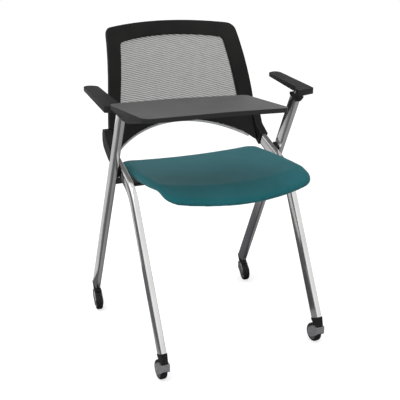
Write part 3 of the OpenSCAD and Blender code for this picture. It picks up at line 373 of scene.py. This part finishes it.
# Rings from the middle of the top outwards, round the rolled edge, down the side and in below.
rings = []
for share in np.linspace(0.03, 0.96, 44):
    spot = middle + share * (plan - middle)
    rings.append(np.column_stack([spot, seat_heights(*spot.T)[0]]))
for a in np.linspace(0, math.pi / 2, 8):
    spot = plan + inward * ROLL * (1 - math.sin(a))
    rings.append(np.column_stack([spot, seat_heights(*spot.T)[0] - roll * (1 - math.cos(a))]))
lip = rings[-1][:, 2]
for share in (0.2, 0.4, 0.6, 0.8, 0.92, 1.0):
    spot = plan - inward * BULGE * (1 - (2 * share - 0.6) ** 2) + set_back * share ** 2
    rings.append(np.column_stack([spot, lip + share * (edge_under - lip)]))
for share in (0.97, 0.93, 0.87, 0.78, 0.6, 0.3):
    spot = middle + share * (plan - middle)
    rings.append(np.column_stack([spot + set_back * share, seat_heights(*spot.T)[1]]))

weave, tree, shader, place = start_material("teal_woven_polyester")
# Plain weave of 0.6 mm threads, drawn at 1.6 mm; a soft fuzz lightens the cloth at low angles,
# and handling leaves broad patches a touch lighter.
warp = add_node(tree, "TexWave", {"Vector": place, "Scale": 200.0, "Distortion": 0.6,
                                  "Detail": 1.0}, bands_direction="X")
weft = add_node(tree, "TexWave", {"Vector": place, "Scale": 200.0, "Distortion": 0.6,
                                  "Detail": 1.0}, bands_direction="Y")
crossing = add_node(tree, "Math", {0: warp.outputs["Fac"], 1: weft.outputs["Fac"]}, operation="MULTIPLY")
tone = vary(tree, place, 14.0, "#1e6066", "#23666e", detail=2.0)
thread_tone = add_node(tree, "Mix", {"Factor": crossing.outputs["Value"], "A": tone,
                                     "B": linear("#2d7379")}, data_type="RGBA")
tree.links.new(thread_tone.outputs["Result"], shader.inputs["Base Color"])
shader.inputs["Roughness"].default_value = 0.86
shader.inputs["Specular IOR Level"].default_value = 0.1
shader.inputs["Sheen Weight"].default_value = 0.34
shader.inputs["Sheen Roughness"].default_value = 0.35
shader.inputs["Sheen Tint"].default_value = linear("#c4c8c8")
relief(tree, shader, crossing.outputs["Value"], 0.00025)


def filled(piece, pressure, cap):
    """Where foam pushes the cloth out: p' = p + m min(1, cap / |m|), with m its way in twenty frames."""
    count = len(piece.data.vertices)
    start = np.empty(count * 3)
    piece.data.vertices.foreach_get("co", start)
    cloth = piece.modifiers.new("foam", "CLOTH")
    cloth.settings.quality = 5
    cloth.settings.use_pressure = True
    cloth.settings.uniform_pressure_force = pressure
    cloth.settings.effector_weights.gravity = 0
    for step in range(1, 21):
        bpy.context.scene.frame_set(step)
    swollen = piece.evaluated_get(bpy.context.evaluated_depsgraph_get()).data
    end = np.empty(count * 3)
    swollen.vertices.foreach_get("co", end)
    piece.modifiers.remove(cloth)
    bpy.context.scene.frame_set(1)
    start, end = start.reshape(-1, 3), end.reshape(-1, 3)
    move = end - start
    size = np.linalg.norm(move, axis=1, keepdims=True)
    return start + move * np.minimum(1, cap / np.maximum(size, 1e-9))


cushion = set_piece("teal_cushion", rings, closed_faces(len(rings), len(plan), turned=True), weave,
                    "seat", "teal_fabric", "seat_cushion", smooth=60.0)
shaped = cushion.modifiers.new("shaped", "REMESH")
shaped.mode, shaped.voxel_size, shaped.use_smooth_shade = "VOXEL", VOXEL, True
fine = bpy.data.meshes.new_from_object(cushion.evaluated_get(bpy.context.evaluated_depsgraph_get()))
cushion.modifiers.remove(shaped)
cushion.data = fine
cushion.data.materials.clear()
cushion.data.materials.append(weave)
filling = filled(cushion, FOAM_PRESSURE, FOAM_CAP)
# The pan and its edge stop the cloth 0.2 mm below the foam's underside.
filling[:, 2] = np.maximum(filling[:, 2], seat_heights(filling[:, 0], filling[:, 1])[1] - 0.0002)
cushion.data.vertices.foreach_set("co", filling.ravel())
cushion.data.shade_smooth()
cushion.data.update()
softened = cushion.modifiers.new("softened", "SUBSURF")
softened.levels = softened.render_levels = 1
# The bright tubes beside the cloth mirror only the pale studio, as in the photograph.
cushion.visible_glossy = False

# Seat pan and rubber pads
# The pan is moulded polypropylene, black, ribbed for stiffness and screwed up into the cushion.
# The pads are black rubber, glued on the ledges that the seat comes down on.
pan = eased("seat_pan", "seat", moulded, edge=0.0012)
# Like the cushion, the pan is left out of what the tubes mirror.
pan.visible_glossy = False
rubber, tree, shader, place = start_material("black_rubber")
# Carbon-filled rubber: near black, matt, with a faint bloom in patches of a few millimetres.
bloom = add_node(tree, "TexNoise", {"Vector": place, "Scale": 260.0, "Detail": 3.0})
tree.links.new(vary(tree, place, 180.0, "#0e0e0e", "#161616"), shader.inputs["Base Color"])
shader.inputs["Specular IOR Level"].default_value = 0.25
grained(tree, shader, bloom.outputs["Fac"], 0.55, 0.78, 0.00005)
eased("rest_pads", "front_frame", rubber, edge=0.0006)

# Back frame
# One glass-filled nylon moulding, dark grey, curved round the sitter's back, with an opening for
# the net and an arched lower edge whose two feet sit beside the tube sockets.
BACK_Y, BACK_Z, BACK_HIGH, BACK_LEAN, BACK_CURVE, BACK_THICK = 0.166, 0.482, 0.333, 0.104, 0.440, 0.014
ARCH_Z, ARCH_RADIUS, ARCH_SHARE, LIMB_X, TOP_BOW, EDGE = 0.549, 0.427, 0.94, 0.2115, 0.011, 0.0035
STEP_X, STEP_Z, SHOULDER_X, SHOULDER_Z, TOP_X, TOP_CORNER = 0.220, 0.553, 0.213, 0.627, 0.190, 0.022
NET_Z, NET_TOP, NET_LOW_X, NET_TOP_X, NET_CORNER = 0.590, 0.778, 0.179, 0.1525, 0.011
# The lean is a curve through these points, in shares of the height and of the whole lean.
CURVE_RISE = np.array([0, 0.06, 0.12, 0.18, 0.24, 0.36, 0.48, 0.6, 0.72, 0.84, 0.94, 1])
CURVE_LEAN = np.array([0, 0.115, 0.2, 0.26, 0.3, 0.35, 0.4, 0.468, 0.572, 0.716, 0.88, 1])
back_axis = BACK_Y - BACK_CURVE + BACK_LEAN * 0.3


def back_shell(x, z, off):
    """Depth of the back: axis + sqrt((middle radius + lean share(z) + off)^2 - x^2), the share smoothed."""
    fine = np.linspace(-0.1, 1.1, 481)
    lean = np.interp(fine, CURVE_RISE, CURVE_LEAN)
    lean = np.where(fine > 1, 1 + (fine - 1) * 2, np.where(fine < 0, fine * 1.9, lean))
    window = np.hanning(41) / np.hanning(41).sum()
    soft = np.convolve(np.pad(lean, 20, mode="edge"), window, mode="valid")
    radius = BACK_Y - back_axis + BACK_LEAN * np.interp((z - BACK_Z) / BACK_HIGH, fine, soft) + off
    return back_axis + np.sqrt(radius ** 2 - x ** 2)


def rounded_outline(corners, steps=9):
    """Closed polygon of (x, z, radius) corners, each turned into an arc that touches both its sides."""
    line = []
    for k, (x, z, radius) in enumerate(corners):
        here = np.array([x, z])
        before, after = np.array(corners[k - 1][:2]), np.array(corners[(k + 1) % len(corners)][:2])
        u = (before - here) / np.linalg.norm(before - here)
        v = (after - here) / np.linalg.norm(after - here)
        if not radius:
            line.append(here)
            continue
        half = math.acos(max(-1.0, min(1.0, float(u @ v)))) / 2
        centre = here + (u + v) / np.linalg.norm(u + v) * radius / math.sin(half)
        a = here + u * radius / math.tan(half) - centre
        b = here + v * radius / math.tan(half) - centre
        turn = math.atan2(a[0] * b[1] - a[1] * b[0], a @ b)
        angle = math.atan2(a[1], a[0]) + turn * np.linspace(0, 1, steps)
        line.extend(centre + radius * np.stack([np.cos(angle), np.sin(angle)], -1))
    return np.array(line)


def by_angle(outline, angles, centre):
    """Points of a closed outline in the directions of those angles from the centre."""
    path = np.concatenate([outline, outline[:1]])
    steps = np.linspace(0, 1, 60, endpoint=False)[:, None]
    fine = np.concatenate([path[k] + steps * (path[k + 1] - path[k]) for k in range(len(outline))])
    arm = fine - centre
    angle = np.arctan2(arm[:, 1], arm[:, 0])
    order = np.argsort(angle)
    reach = np.interp(angles, angle[order], np.linalg.norm(arm, axis=1)[order], period=2 * math.pi)
    return centre + reach[:, None] * np.stack([np.cos(angles), np.sin(angles)], -1)


x = np.linspace(-ARCH_SHARE, ARCH_SHARE, 41) * LIMB_X
arch = [(a, ARCH_Z - ARCH_RADIUS + math.sqrt(ARCH_RADIUS ** 2 - a * a), 0) for a in x]
right_edge = [(LIMB_X, BACK_Z, 0.002), (LIMB_X, STEP_Z, 0), (STEP_X, STEP_Z, 0.003),
              (SHOULDER_X, SHOULDER_Z, 0.12), (TOP_X, BACK_Z + BACK_HIGH - TOP_BOW, TOP_CORNER)]
left_edge = [(-a, b, r) for a, b, r in right_edge[::-1]]
bowed = np.linspace(0.8, -0.8, 15)
top_edge = [(TOP_X * a, BACK_Z + BACK_HIGH - TOP_BOW * a * a, 0) for a in bowed]
outer_line = rounded_outline(arch + right_edge + top_edge + left_edge)
net_top = [(NET_TOP_X * a, NET_TOP - TOP_BOW * a * a, 0) for a in bowed]
net_left = [(NET_LOW_X, NET_Z, NET_CORNER), (NET_TOP_X, NET_TOP - TOP_BOW, NET_CORNER)]
inner_line = rounded_outline(net_left + net_top + [(-a, b, r) for a, b, r in net_left[::-1]])
heart = np.array([0.0, 0.690])
angles = np.linspace(-math.pi, math.pi, 720, endpoint=False)
outer, inner = by_angle(outer_line, angles, heart), by_angle(inner_line, angles, heart)
across = outer - inner
wide = np.linalg.norm(across, axis=1, keepdims=True)
across /= wide
# Section round the moulding: both edges are quarter rounds, the faces between them flat.
turn = np.linspace(0, math.pi / 2, 6)
near = [(EDGE * (1 - math.cos(t)), BACK_THICK / 2 - EDGE * (1 - math.sin(t))) for t in turn]
section = []
for d, off in near:
    section.append((inner + across * d, -off))
for share in (0.25, 0.5, 0.75):
    section.append((inner + across * wide * share, -BACK_THICK / 2))
for d, off in near[::-1]:
    section.append((outer - across * d, -off))
for d, off in near:
    section.append((outer - across * d, off))
for share in (0.75, 0.5, 0.25):
    section.append((inner + across * wide * share, BACK_THICK / 2))
for d, off in near[::-1]:
    section.append((inner + across * d, off))
loop = np.stack([np.column_stack([p[:, 0], back_shell(p[:, 0], p[:, 1], off), p[:, 1]])
                 for p, off in section])

back_plastic, tree, shader, place = start_material("dark_glass_filled_nylon")
# Glass-filled nylon from a spark-eroded mould: dark neutral grey, satin, grain of 0.4 mm drawn at
# 1 mm.
grain = add_node(tree, "TexNoise", {"Vector": place, "Scale": 1000.0, "Detail": 2.0})
tree.links.new(vary(tree, place, 16.0, "#171616", "#1d1c1b"), shader.inputs["Base Color"])
shader.inputs["Specular IOR Level"].default_value = 0.1
grained(tree, shader, grain.outputs["Fac"], 0.40, 0.56, 0.00006)
back_faces = [face[::-1] for face in grid_faces(len(section), len(angles), loop=True)]
set_piece("moulded_back", loop, back_faces, back_plastic,
          "front_frame", "back_moulding", "back_frame", smooth=40.0)

# Net panel
# Warp-knitted polyester net, grey, stretched and welded into a groove round the opening.
# Light passes through its open meshes, so what stands behind it shows through.
rows, columns = 61, 81
# How far the net reaches into the groove.
GROOVE = 0.0005
v = np.linspace(0, 1, rows)[:, None]
half = NET_LOW_X + GROOVE - (NET_LOW_X - NET_TOP_X) * v
x = np.linspace(-1, 1, columns)[None, :] * half
z = NET_Z + v * (NET_TOP + GROOVE - TOP_BOW * (x / (NET_TOP_X + GROOVE)) ** 2 - NET_Z)
net_points = np.stack([x, back_shell(x, z, 0.0), z * np.ones_like(x)], -1)
net, tree, shader, place = start_material("knitted_polyester_net")
# Open meshes 1.5 mm apart in wavy, slightly slanting rows; the rows are drawn 5.6 mm apart and the
# meshes 3 mm apart, and a wave repeats every 0.314 m / scale. The yarn is a warm mid grey with the
# dull gloss of polyester.
knit = add_node(tree, "Mapping", {"Vector": place, "Scale": (1.0, 0.0, 1.0),
                                  "Rotation": (0.0, -0.3, 0.0)})
rows_open = add_node(tree, "TexWave", {"Vector": knit.outputs["Vector"], "Scale": 56.0, "Distortion": 2.6,
                                       "Detail": 1.5, "Detail Scale": 0.8}, bands_direction="Z")
meshes = add_node(tree, "TexWave", {"Vector": knit.outputs["Vector"], "Scale": 105.0,
                                    "Distortion": 0.8, "Detail": 1.0}, bands_direction="X")
yarn = add_node(tree, "Mix", {"Factor": 0.4, "A": rows_open.outputs["Fac"],
                              "B": meshes.outputs["Fac"]}, data_type="FLOAT")
solid = add_node(tree, "MapRange", {"Value": yarn.outputs["Result"], "From Min": 0.1, "From Max": 0.9,
                                    "To Min": 0.97, "To Max": 0.60})
tree.links.new(solid.outputs["Result"], shader.inputs["Alpha"])
tree.links.new(vary(tree, place, 60.0, "#6b6a68", "#777674"), shader.inputs["Base Color"])
shader.inputs["Roughness"].default_value = 0.8
relief(tree, shader, yarn.outputs["Result"], 0.0003)
quads = grid_faces(rows, columns, ring=False)
panel = set_piece("net_panel", net_points, quads, net,
                  "front_frame", "grey_mesh", "back_mesh", smooth=60.0)
# The corners of each quad of the net.
corners = net_points.reshape(-1, 3)[np.array(quads)]

# Sockets and arch rod
# The sockets are black nylon, slid over the rear ends of the front tubes and held by grub screws.
# The rod is drawn steel, lacquered light grey, snapped along the arch below the back.
SOCKET_INSIDE, SOCKET_OUTSIDE, SOCKET_EDGE = 0.2118, 0.2345, 0.002
ROD, ROD_GAP = 0.0035, 0.0003
# Outline in depth and height, with each corner's radius; the mouth faces down the tube.
SOCKET = [(0.0989, 0.4744, 0), (0.1210, 0.4875, 0.020), (0.1455, 0.5070, 0.020), (0.1510, 0.5230, 0.012),
          (0.1505, 0.5400, 0.012), (0.1460, 0.5540, 0), (0.1290, 0.5540, 0), (0.1180, 0.5315, 0.012),
          (0.0843, 0.5084, 0)]
outline = rounded_outline(SOCKET, steps=7)
for side, sign in SIDES.items():
    walls = [np.insert(outline, 0, sign * x, axis=1) for x in (SOCKET_INSIDE, SOCKET_OUTSIDE)]
    faces = closed_faces(2, len(outline), turned=sign < 0)
    socket = set_piece("tube_socket_" + side, np.stack(walls), faces, moulded,
                       "front_frame", "black_moulding", "back_socket_" + side)
    round_edges(socket, SOCKET_EDGE, 40)
lacquer, tree, shader, place = start_material("light_grey_lacquer")
# Stoved lacquer: pale grey, even, with a slight orange peel of 1.5 mm.
peel = add_node(tree, "TexNoise", {"Vector": place, "Scale": 650.0, "Detail": 1.0})
tree.links.new(vary(tree, place, 40.0, "#b4b4b4", "#bebebe"), shader.inputs["Base Color"])
grained(tree, shader, peel.outputs["Fac"], 0.26, 0.36, 0.00004)
# Rod: a circle carried along a line that runs a rod's radius and a gap inside the arch,
# point = line + radius (cos a out + sin a lift).
x = np.linspace(-1, 1, 121) * (ARCH_SHARE * LIMB_X - ROD)
z = ARCH_Z - ARCH_RADIUS + np.sqrt(ARCH_RADIUS ** 2 - x ** 2)
z -= (ROD + ROD_GAP) * ARCH_RADIUS / np.sqrt(ARCH_RADIUS ** 2 - x ** 2)
line = np.stack([x, back_shell(x, z, 0.0), z], -1)
ahead = np.gradient(line, axis=0)
ahead /= np.linalg.norm(ahead, axis=1, keepdims=True)
out = np.cross(ahead, [0, 0, 1.0])
out /= np.linalg.norm(out, axis=1, keepdims=True)
lift = np.cross(out, ahead)
a = np.linspace(0, 2 * math.pi, 20, endpoint=False)[None, :, None]
rod_points = line[:, None] + ROD * (np.cos(a) * out[:, None] + np.sin(a) * lift[:, None])
set_piece("arch_rod", rod_points, closed_faces(len(x), a.size, turned=True), lacquer,
          "front_frame", "bright_rod", "back_rod")

# Armrests and post caps
# Armrests are moulded polypropylene, dark grey, grained, each screwed through a black cap on top
# of its post. The right cap's nose carries the tablet's spindle.
arm_plastic, tree, shader, place = start_material("dark_grained_polypropylene")
# Coarser hand-rest grain, 0.8 mm, drawn at 1.5 mm, that greys the dark plastic in raking light.
grain = add_node(tree, "TexNoise", {"Vector": place, "Scale": 700.0, "Detail": 2.0})
tree.links.new(vary(tree, place, 22.0, "#161617", "#1b1b1c"), shader.inputs["Base Color"])
shader.inputs["Specular IOR Level"].default_value = 0.25
grained(tree, shader, grain.outputs["Fac"], 0.50, 0.66, 0.00010)
for side in SIDES:
    eased("armrest_" + side, "rear_frame", arm_plastic, edge=0.0022)
    eased("arm_cap_" + side, "rear_frame", moulded, edge=0.0010)

# Writing tablet
# Moulded ABS top, dark grey with a fine leather-like grain, screwed to a dark wedge-shaped arm of
# polypropylene that turns on the spindle. Its rounded edge is painted near black as painted shade.
RIM_LOW, RIM_HIGH = 0.6618, 0.6624
tablet_skin, tree, shader, place = start_material("grey_grained_abs")
# Grain cells of 0.9 mm, drawn at 2 mm, slightly glossy between the cells. The edge is painted near
# black, a painted shade under the face's grey; the two meet between two heights at its rim.
cells = add_node(tree, "TexVoronoi", {"Vector": place, "Scale": 500.0}, feature="SMOOTH_F1")
axes = add_node(tree, "SeparateXYZ", {"Vector": place})
shade_free_face = add_node(tree, "MapRange", {"Value": axes.outputs["Z"], "From Min": RIM_LOW, "From Max": RIM_HIGH})
top_tone = vary(tree, place, 12.0, "#4b4b4b", "#525252")
# The near black below the rim is painted shade on the tablet's edge.
painted_edge_shade = add_node(tree, "Mix", {"Factor": shade_free_face.outputs["Result"], "A": linear("#161617"),
                                  "B": top_tone}, data_type="RGBA")
tree.links.new(painted_edge_shade.outputs["Result"], shader.inputs["Base Color"])
shader.inputs["Specular IOR Level"].default_value = 0.3
grained(tree, shader, cells.outputs["Distance"], 0.45, 0.6, 0.00008)
top = eased("tablet_top", "tablet", tablet_skin, edge=0.0020)
# The plated knee below would mirror the dark underside as a black sliver that the photograph lacks.
top.visible_glossy = False
arm_skin, tree, shader, place = start_material("grey_grained_polypropylene")
# Mould grain of 0.5 mm, drawn at 1.2 mm, on a plastic a little lighter than the armrests.
cells = add_node(tree, "TexNoise", {"Vector": place, "Scale": 800.0, "Detail": 2.0})
tree.links.new(vary(tree, place, 20.0, "#1d1d1e", "#232324"), shader.inputs["Base Color"])
shader.inputs["Specular IOR Level"].default_value = 0.2
grained(tree, shader, cells.outputs["Fac"], 0.45, 0.60, 0.00008)
eased("tablet_arm", "tablet", arm_skin, edge=0.0020)

# Casters
# Four alike: a pressed steel fork in grey lacquer swivels on a stem pushed into the leg plug, and
# a nylon wheel body with a black rubber tyre runs on a riveted axle between its cheeks.
WHEEL, TYRE_HALF, SHOULDER, AXLE, TRAIL, HUB = 0.025, 0.009, 0.005, 0.003, 0.018, 0.0185
# Each stem's place in depth and the way its wheel trails, in degrees from +X.
FRONT_STEM, FRONT_TRAIL, REAR_STEM, REAR_TRAIL = -0.22718, 90.0, 0.2335, 262.0
PLACES = {"front_right": (-FRONT_X, FRONT_STEM, FRONT_TRAIL),
          "front_left": (FRONT_X, FRONT_STEM, FRONT_TRAIL),
          "rear_right": (-REAR_X, REAR_STEM, REAR_TRAIL),
          "rear_left": (REAR_X, REAR_STEM, REAR_TRAIL)}
fork_paint, tree, shader, place = start_material("silver_grey_lacquer")
# Metallic lacquer over a pressing: silver grey, half gloss, with faint drawing marks of 3 mm.
marks = add_node(tree, "TexNoise", {"Vector": place, "Scale": 320.0, "Detail": 3.0})
tree.links.new(vary(tree, place, 120.0, "#9e9ea0", "#acacae"), shader.inputs["Base Color"])
shader.inputs["Metallic"].default_value = 0.85
grained(tree, shader, marks.outputs["Fac"], 0.28, 0.42, 0.00004)
hub_plastic, tree, shader, place = start_material("grey_moulded_nylon")
# Natural grey nylon with weld clouds a few millimetres wide.
clouds = add_node(tree, "TexNoise", {"Vector": place, "Scale": 300.0, "Detail": 2.0})
tree.links.new(vary(tree, place, 150.0, "#585859", "#666667"), shader.inputs["Base Color"])
grained(tree, shader, clouds.outputs["Fac"], 0.38, 0.52, 0.00003)


def turned(profile, steps=72):
    """Profile (radius, side) turned about the axle.

    x = radius cos a + trail, y = side and z = radius sin a + the wheel's radius.
    """
    a = np.linspace(0, 2 * math.pi, steps, endpoint=False)[:, None]
    radius, side = profile[None, :, 0], profile[None, :, 1]
    points = np.stack([TRAIL + radius * np.cos(a), side + 0 * a, WHEEL + radius * np.sin(a)], -1)
    return points, grid_faces(steps, len(profile), loop=True)


# Tyre: a flat tread between two rounded shoulders; the rings near its middle keep its shading level.
half_tread = [(HUB, -TYRE_HALF)]
half_tread += [(WHEEL - SHOULDER * (1 - math.sin(t)), -TYRE_HALF + SHOULDER * (1 - math.cos(t)))
               for t in np.linspace(0, math.pi / 2, 8)]
half_tread.append((WHEEL, -0.0006))
tread = np.array(half_tread + [(WHEEL, 0.0)] + [(r, -s) for r, s in half_tread[::-1]])
# Wheel body: a raised rim and boss with a dished web between them.
web = [(AXLE + 0.0001, -TYRE_HALF), (0.006, -TYRE_HALF), (0.0072, -0.0078), (0.0078, -0.006),
       (0.0095, -0.0052), (0.0140, -0.0052), (0.0155, -0.0062), (0.0165, -0.0085), (0.0170, -TYRE_HALF),
       (HUB, -TYRE_HALF)]
web = np.array(web + [(r, -s) for r, s in web[::-1]])
for corner, (stem_x, stem_y, heading_degrees) in PLACES.items():
    c, s = math.cos(math.radians(heading_degrees)), math.sin(math.radians(heading_degrees))
    turn_round = np.array([[c, s, 0], [-s, c, 0], [0, 0, 1]])
    for name, profile, material, slot in (("tyre", tread, rubber, "black_rubber"),
                                          ("hub", web, hub_plastic, "hub_grey")):
        points, faces = turned(profile)
        set_piece(name + "_" + corner + "_turned", points @ turn_round + [stem_x, stem_y, 0], faces,
                  material, "wheel_" + corner, slot, name + "_" + corner)
    eased("fork_" + corner, "caster_" + corner, fork_paint, edge=0.0004)
    eased("stem_" + corner, "caster_" + corner, zinc, edge=0.0)
    eased("axle_" + corner, "caster_" + corner, zinc, edge=0.0003)

# Studio
# A white paper sweep under one broad soft box, with weaker boxes in front and at the side. Cards on
# the floor and overhead show only in reflections, as a photographer sets them round a chair to draw
# its bright tubes.
FLOOR_REACH, PAPER_GLOW, ROOM_LIGHT = 9.0, 0.64, 0.7


def background_rays(tree):
    """1 for the camera, glossy and transmission rays that show the white background, 0 for the rest."""
    rays = add_node(tree, "LightPath")
    either = add_node(tree, "Math", {0: rays.outputs["Is Camera Ray"], 1: rays.outputs["Is Glossy Ray"]},
                      operation="MAXIMUM")
    any_way = add_node(tree, "Math", {0: either.outputs["Value"], 1: rays.outputs["Is Transmission Ray"]},
                       operation="MAXIMUM")
    return any_way.outputs["Value"]


floor_mesh = bpy.data.meshes.new("sweep")
floor_corners = [(a * FLOOR_REACH, b * FLOOR_REACH, 0) for a, b in ((-1, -1), (1, -1), (1, 1), (-1, 1))]
floor_mesh.from_pydata(floor_corners, [], [(0, 1, 2, 3)])
floor = bpy.data.objects.new("sweep", floor_mesh)
bpy.context.scene.collection.objects.link(floor)
paper = bpy.data.materials.new("white_paper")
paper.use_nodes = True
tree = paper.node_tree
tree.nodes.clear()
# Uncoated paper with a faint cloud of fibres. The glow lifts it to white where it is looked at or
# mirrored, and adds nothing to the light that falls on the chair.
fibre = add_node(tree, "TexNoise", {"Vector": add_node(tree, "TexCoord").outputs["Object"], "Scale": 30.0})
pale = add_node(tree, "Mix", {"Factor": fibre.outputs["Fac"], "A": linear("#c6c6c6"),
                              "B": linear("#cacaca")}, data_type="RGBA")
matt_paper = add_node(tree, "BsdfDiffuse", {"Color": pale.outputs["Result"]})
glow = add_node(tree, "Emission", {"Color": (1, 1, 1, 1), "Strength": PAPER_GLOW})
lit = add_node(tree, "AddShader", {0: matt_paper.outputs["BSDF"], 1: glow.outputs["Emission"]})
blend = add_node(tree, "MixShader", {0: background_rays(tree), 1: matt_paper.outputs["BSDF"],
                                     2: lit.outputs["Shader"]})
add_node(tree, "OutputMaterial", {"Surface": blend.outputs["Shader"]})
floor_mesh.materials.append(paper)

# Matt card, each with its two greys, height and corners: pale in front, darker behind and at the
# side, a small dark one under the chair and a light strip that the tubes show as a pale band.
for name, tone, height, corners in (
        ("pale_card", ("#9a9a9c", "#aaaaac"), 0.0005, [(-0.3, -1.5), (2.0, -1.5), (2.0, 0.2), (-0.3, 0.2)]),
        ("dark_card", ("#56565a", "#66666a"), 0.0005, [(-2.2, 0.2), (2.2, 0.2), (2.2, 2.8), (-2.2, 2.8)]),
        ("side_card", ("#56565a", "#66666a"), 0.0005,
         [(-2.2, -1.0), (-0.3, -1.0), (-0.3, 0.2), (-2.2, 0.2)]),
        ("leg_card", ("#4e4e52", "#5a5a5e"), 0.0008,
         [(-0.06, -0.06), (0.3, -0.06), (0.3, 0.2), (-0.1, 0.2)]),
        ("light_strip", ("#dadadc", "#e2e2e4"), 0.0010,
         [(-0.385, 0.45), (-0.22, 0.42), (-0.28, 0.95), (-0.33, 1.6), (-0.45, 2.7), (-1.45, 2.7),
          (-1.15, 1.9), (-0.78, 1.25), (-0.54, 0.85)]),
        ("ceiling_card", ("#a0a0a2", "#aaaaac"), 3.6, [(-3.0, 0.2), (4.5, 0.2), (4.5, 5.5), (-3.0, 5.5)])):
    card_mesh = bpy.data.meshes.new(name)
    card_mesh.from_pydata([(a, b, height) for a, b in corners], [], [list(range(len(corners)))])
    card = bpy.data.objects.new(name, card_mesh)
    bpy.context.scene.collection.objects.link(card)
    card.visible_camera = card.visible_diffuse = card.visible_shadow = card.visible_transmission = False
    grey, tree, shader, place = start_material(name)
    tree.links.new(vary(tree, place, 0.9, *tone, detail=1.0), shader.inputs["Base Color"])
    shader.inputs["Roughness"].default_value = 0.9
    card_mesh.materials.append(grey)

world = bpy.data.worlds.new("studio")
world.use_nodes = True
tree = world.node_tree
tree.nodes.clear()
shown = add_node(tree, "Background", {"Color": (1, 1, 1, 1), "Strength": 1.0})
lighting = add_node(tree, "Background", {"Color": (1, 1, 1, 1), "Strength": ROOM_LIGHT})
sky = add_node(tree, "MixShader", {0: background_rays(tree), 1: lighting.outputs["Background"],
                                   2: shown.outputs["Background"]})
add_node(tree, "OutputWorld", {"Surface": sky.outputs["Shader"]})
bpy.context.scene.world = world

# Each box's place, the point it faces, its width and its power in watts.
for name, spot, aim, size, power in (("soft_box", (-1.0, -0.6, 3.0), (0, 0, 0.45), 2.6, 40.0),
                                     ("front_box", (-0.6, -3.2, 1.3), (0, 0, 0.5), 1.6, 2.5),
                                     ("side_box", (-2.8, -0.2, 1.5), (0, 0, 0.5), 1.5, 8.0)):
    lamp = bpy.data.lights.new(name, "AREA")
    lamp.size, lamp.energy = size, power
    box = bpy.data.objects.new(name, lamp)
    box.location = spot
    box.rotation_euler = (Vector(aim) - Vector(spot)).to_track_quat("-Z", "Y").to_euler()
    bpy.context.scene.collection.objects.link(box)

# The camera stands in front of the chair, on the sitter's right, a little above the back's height.
CAMERA_PLACE, SENSOR_MM, LENS_MM = (-0.81718, -1.70166, 1.00612), 36.0, 67.08
azimuth, elevation = math.radians(-25.14), math.radians(18.69)
back = Vector((math.sin(azimuth) * math.cos(elevation), -math.cos(azimuth) * math.cos(elevation),
               math.sin(elevation)))
across_view = Vector((math.cos(azimuth), math.sin(azimuth), 0))
up_view = back.cross(across_view)
lens = bpy.data.cameras.new("camera")
lens.sensor_width, lens.lens = SENSOR_MM, LENS_MM
camera = bpy.data.objects.new("camera", lens)
turned_view = Matrix((across_view, up_view, back)).transposed().to_4x4()
camera.matrix_world = Matrix.Translation(CAMERA_PLACE) @ turned_view
bpy.context.scene.collection.objects.link(camera)
bpy.context.scene.camera = camera
bpy.context.scene.view_settings.view_transform = "Standard"
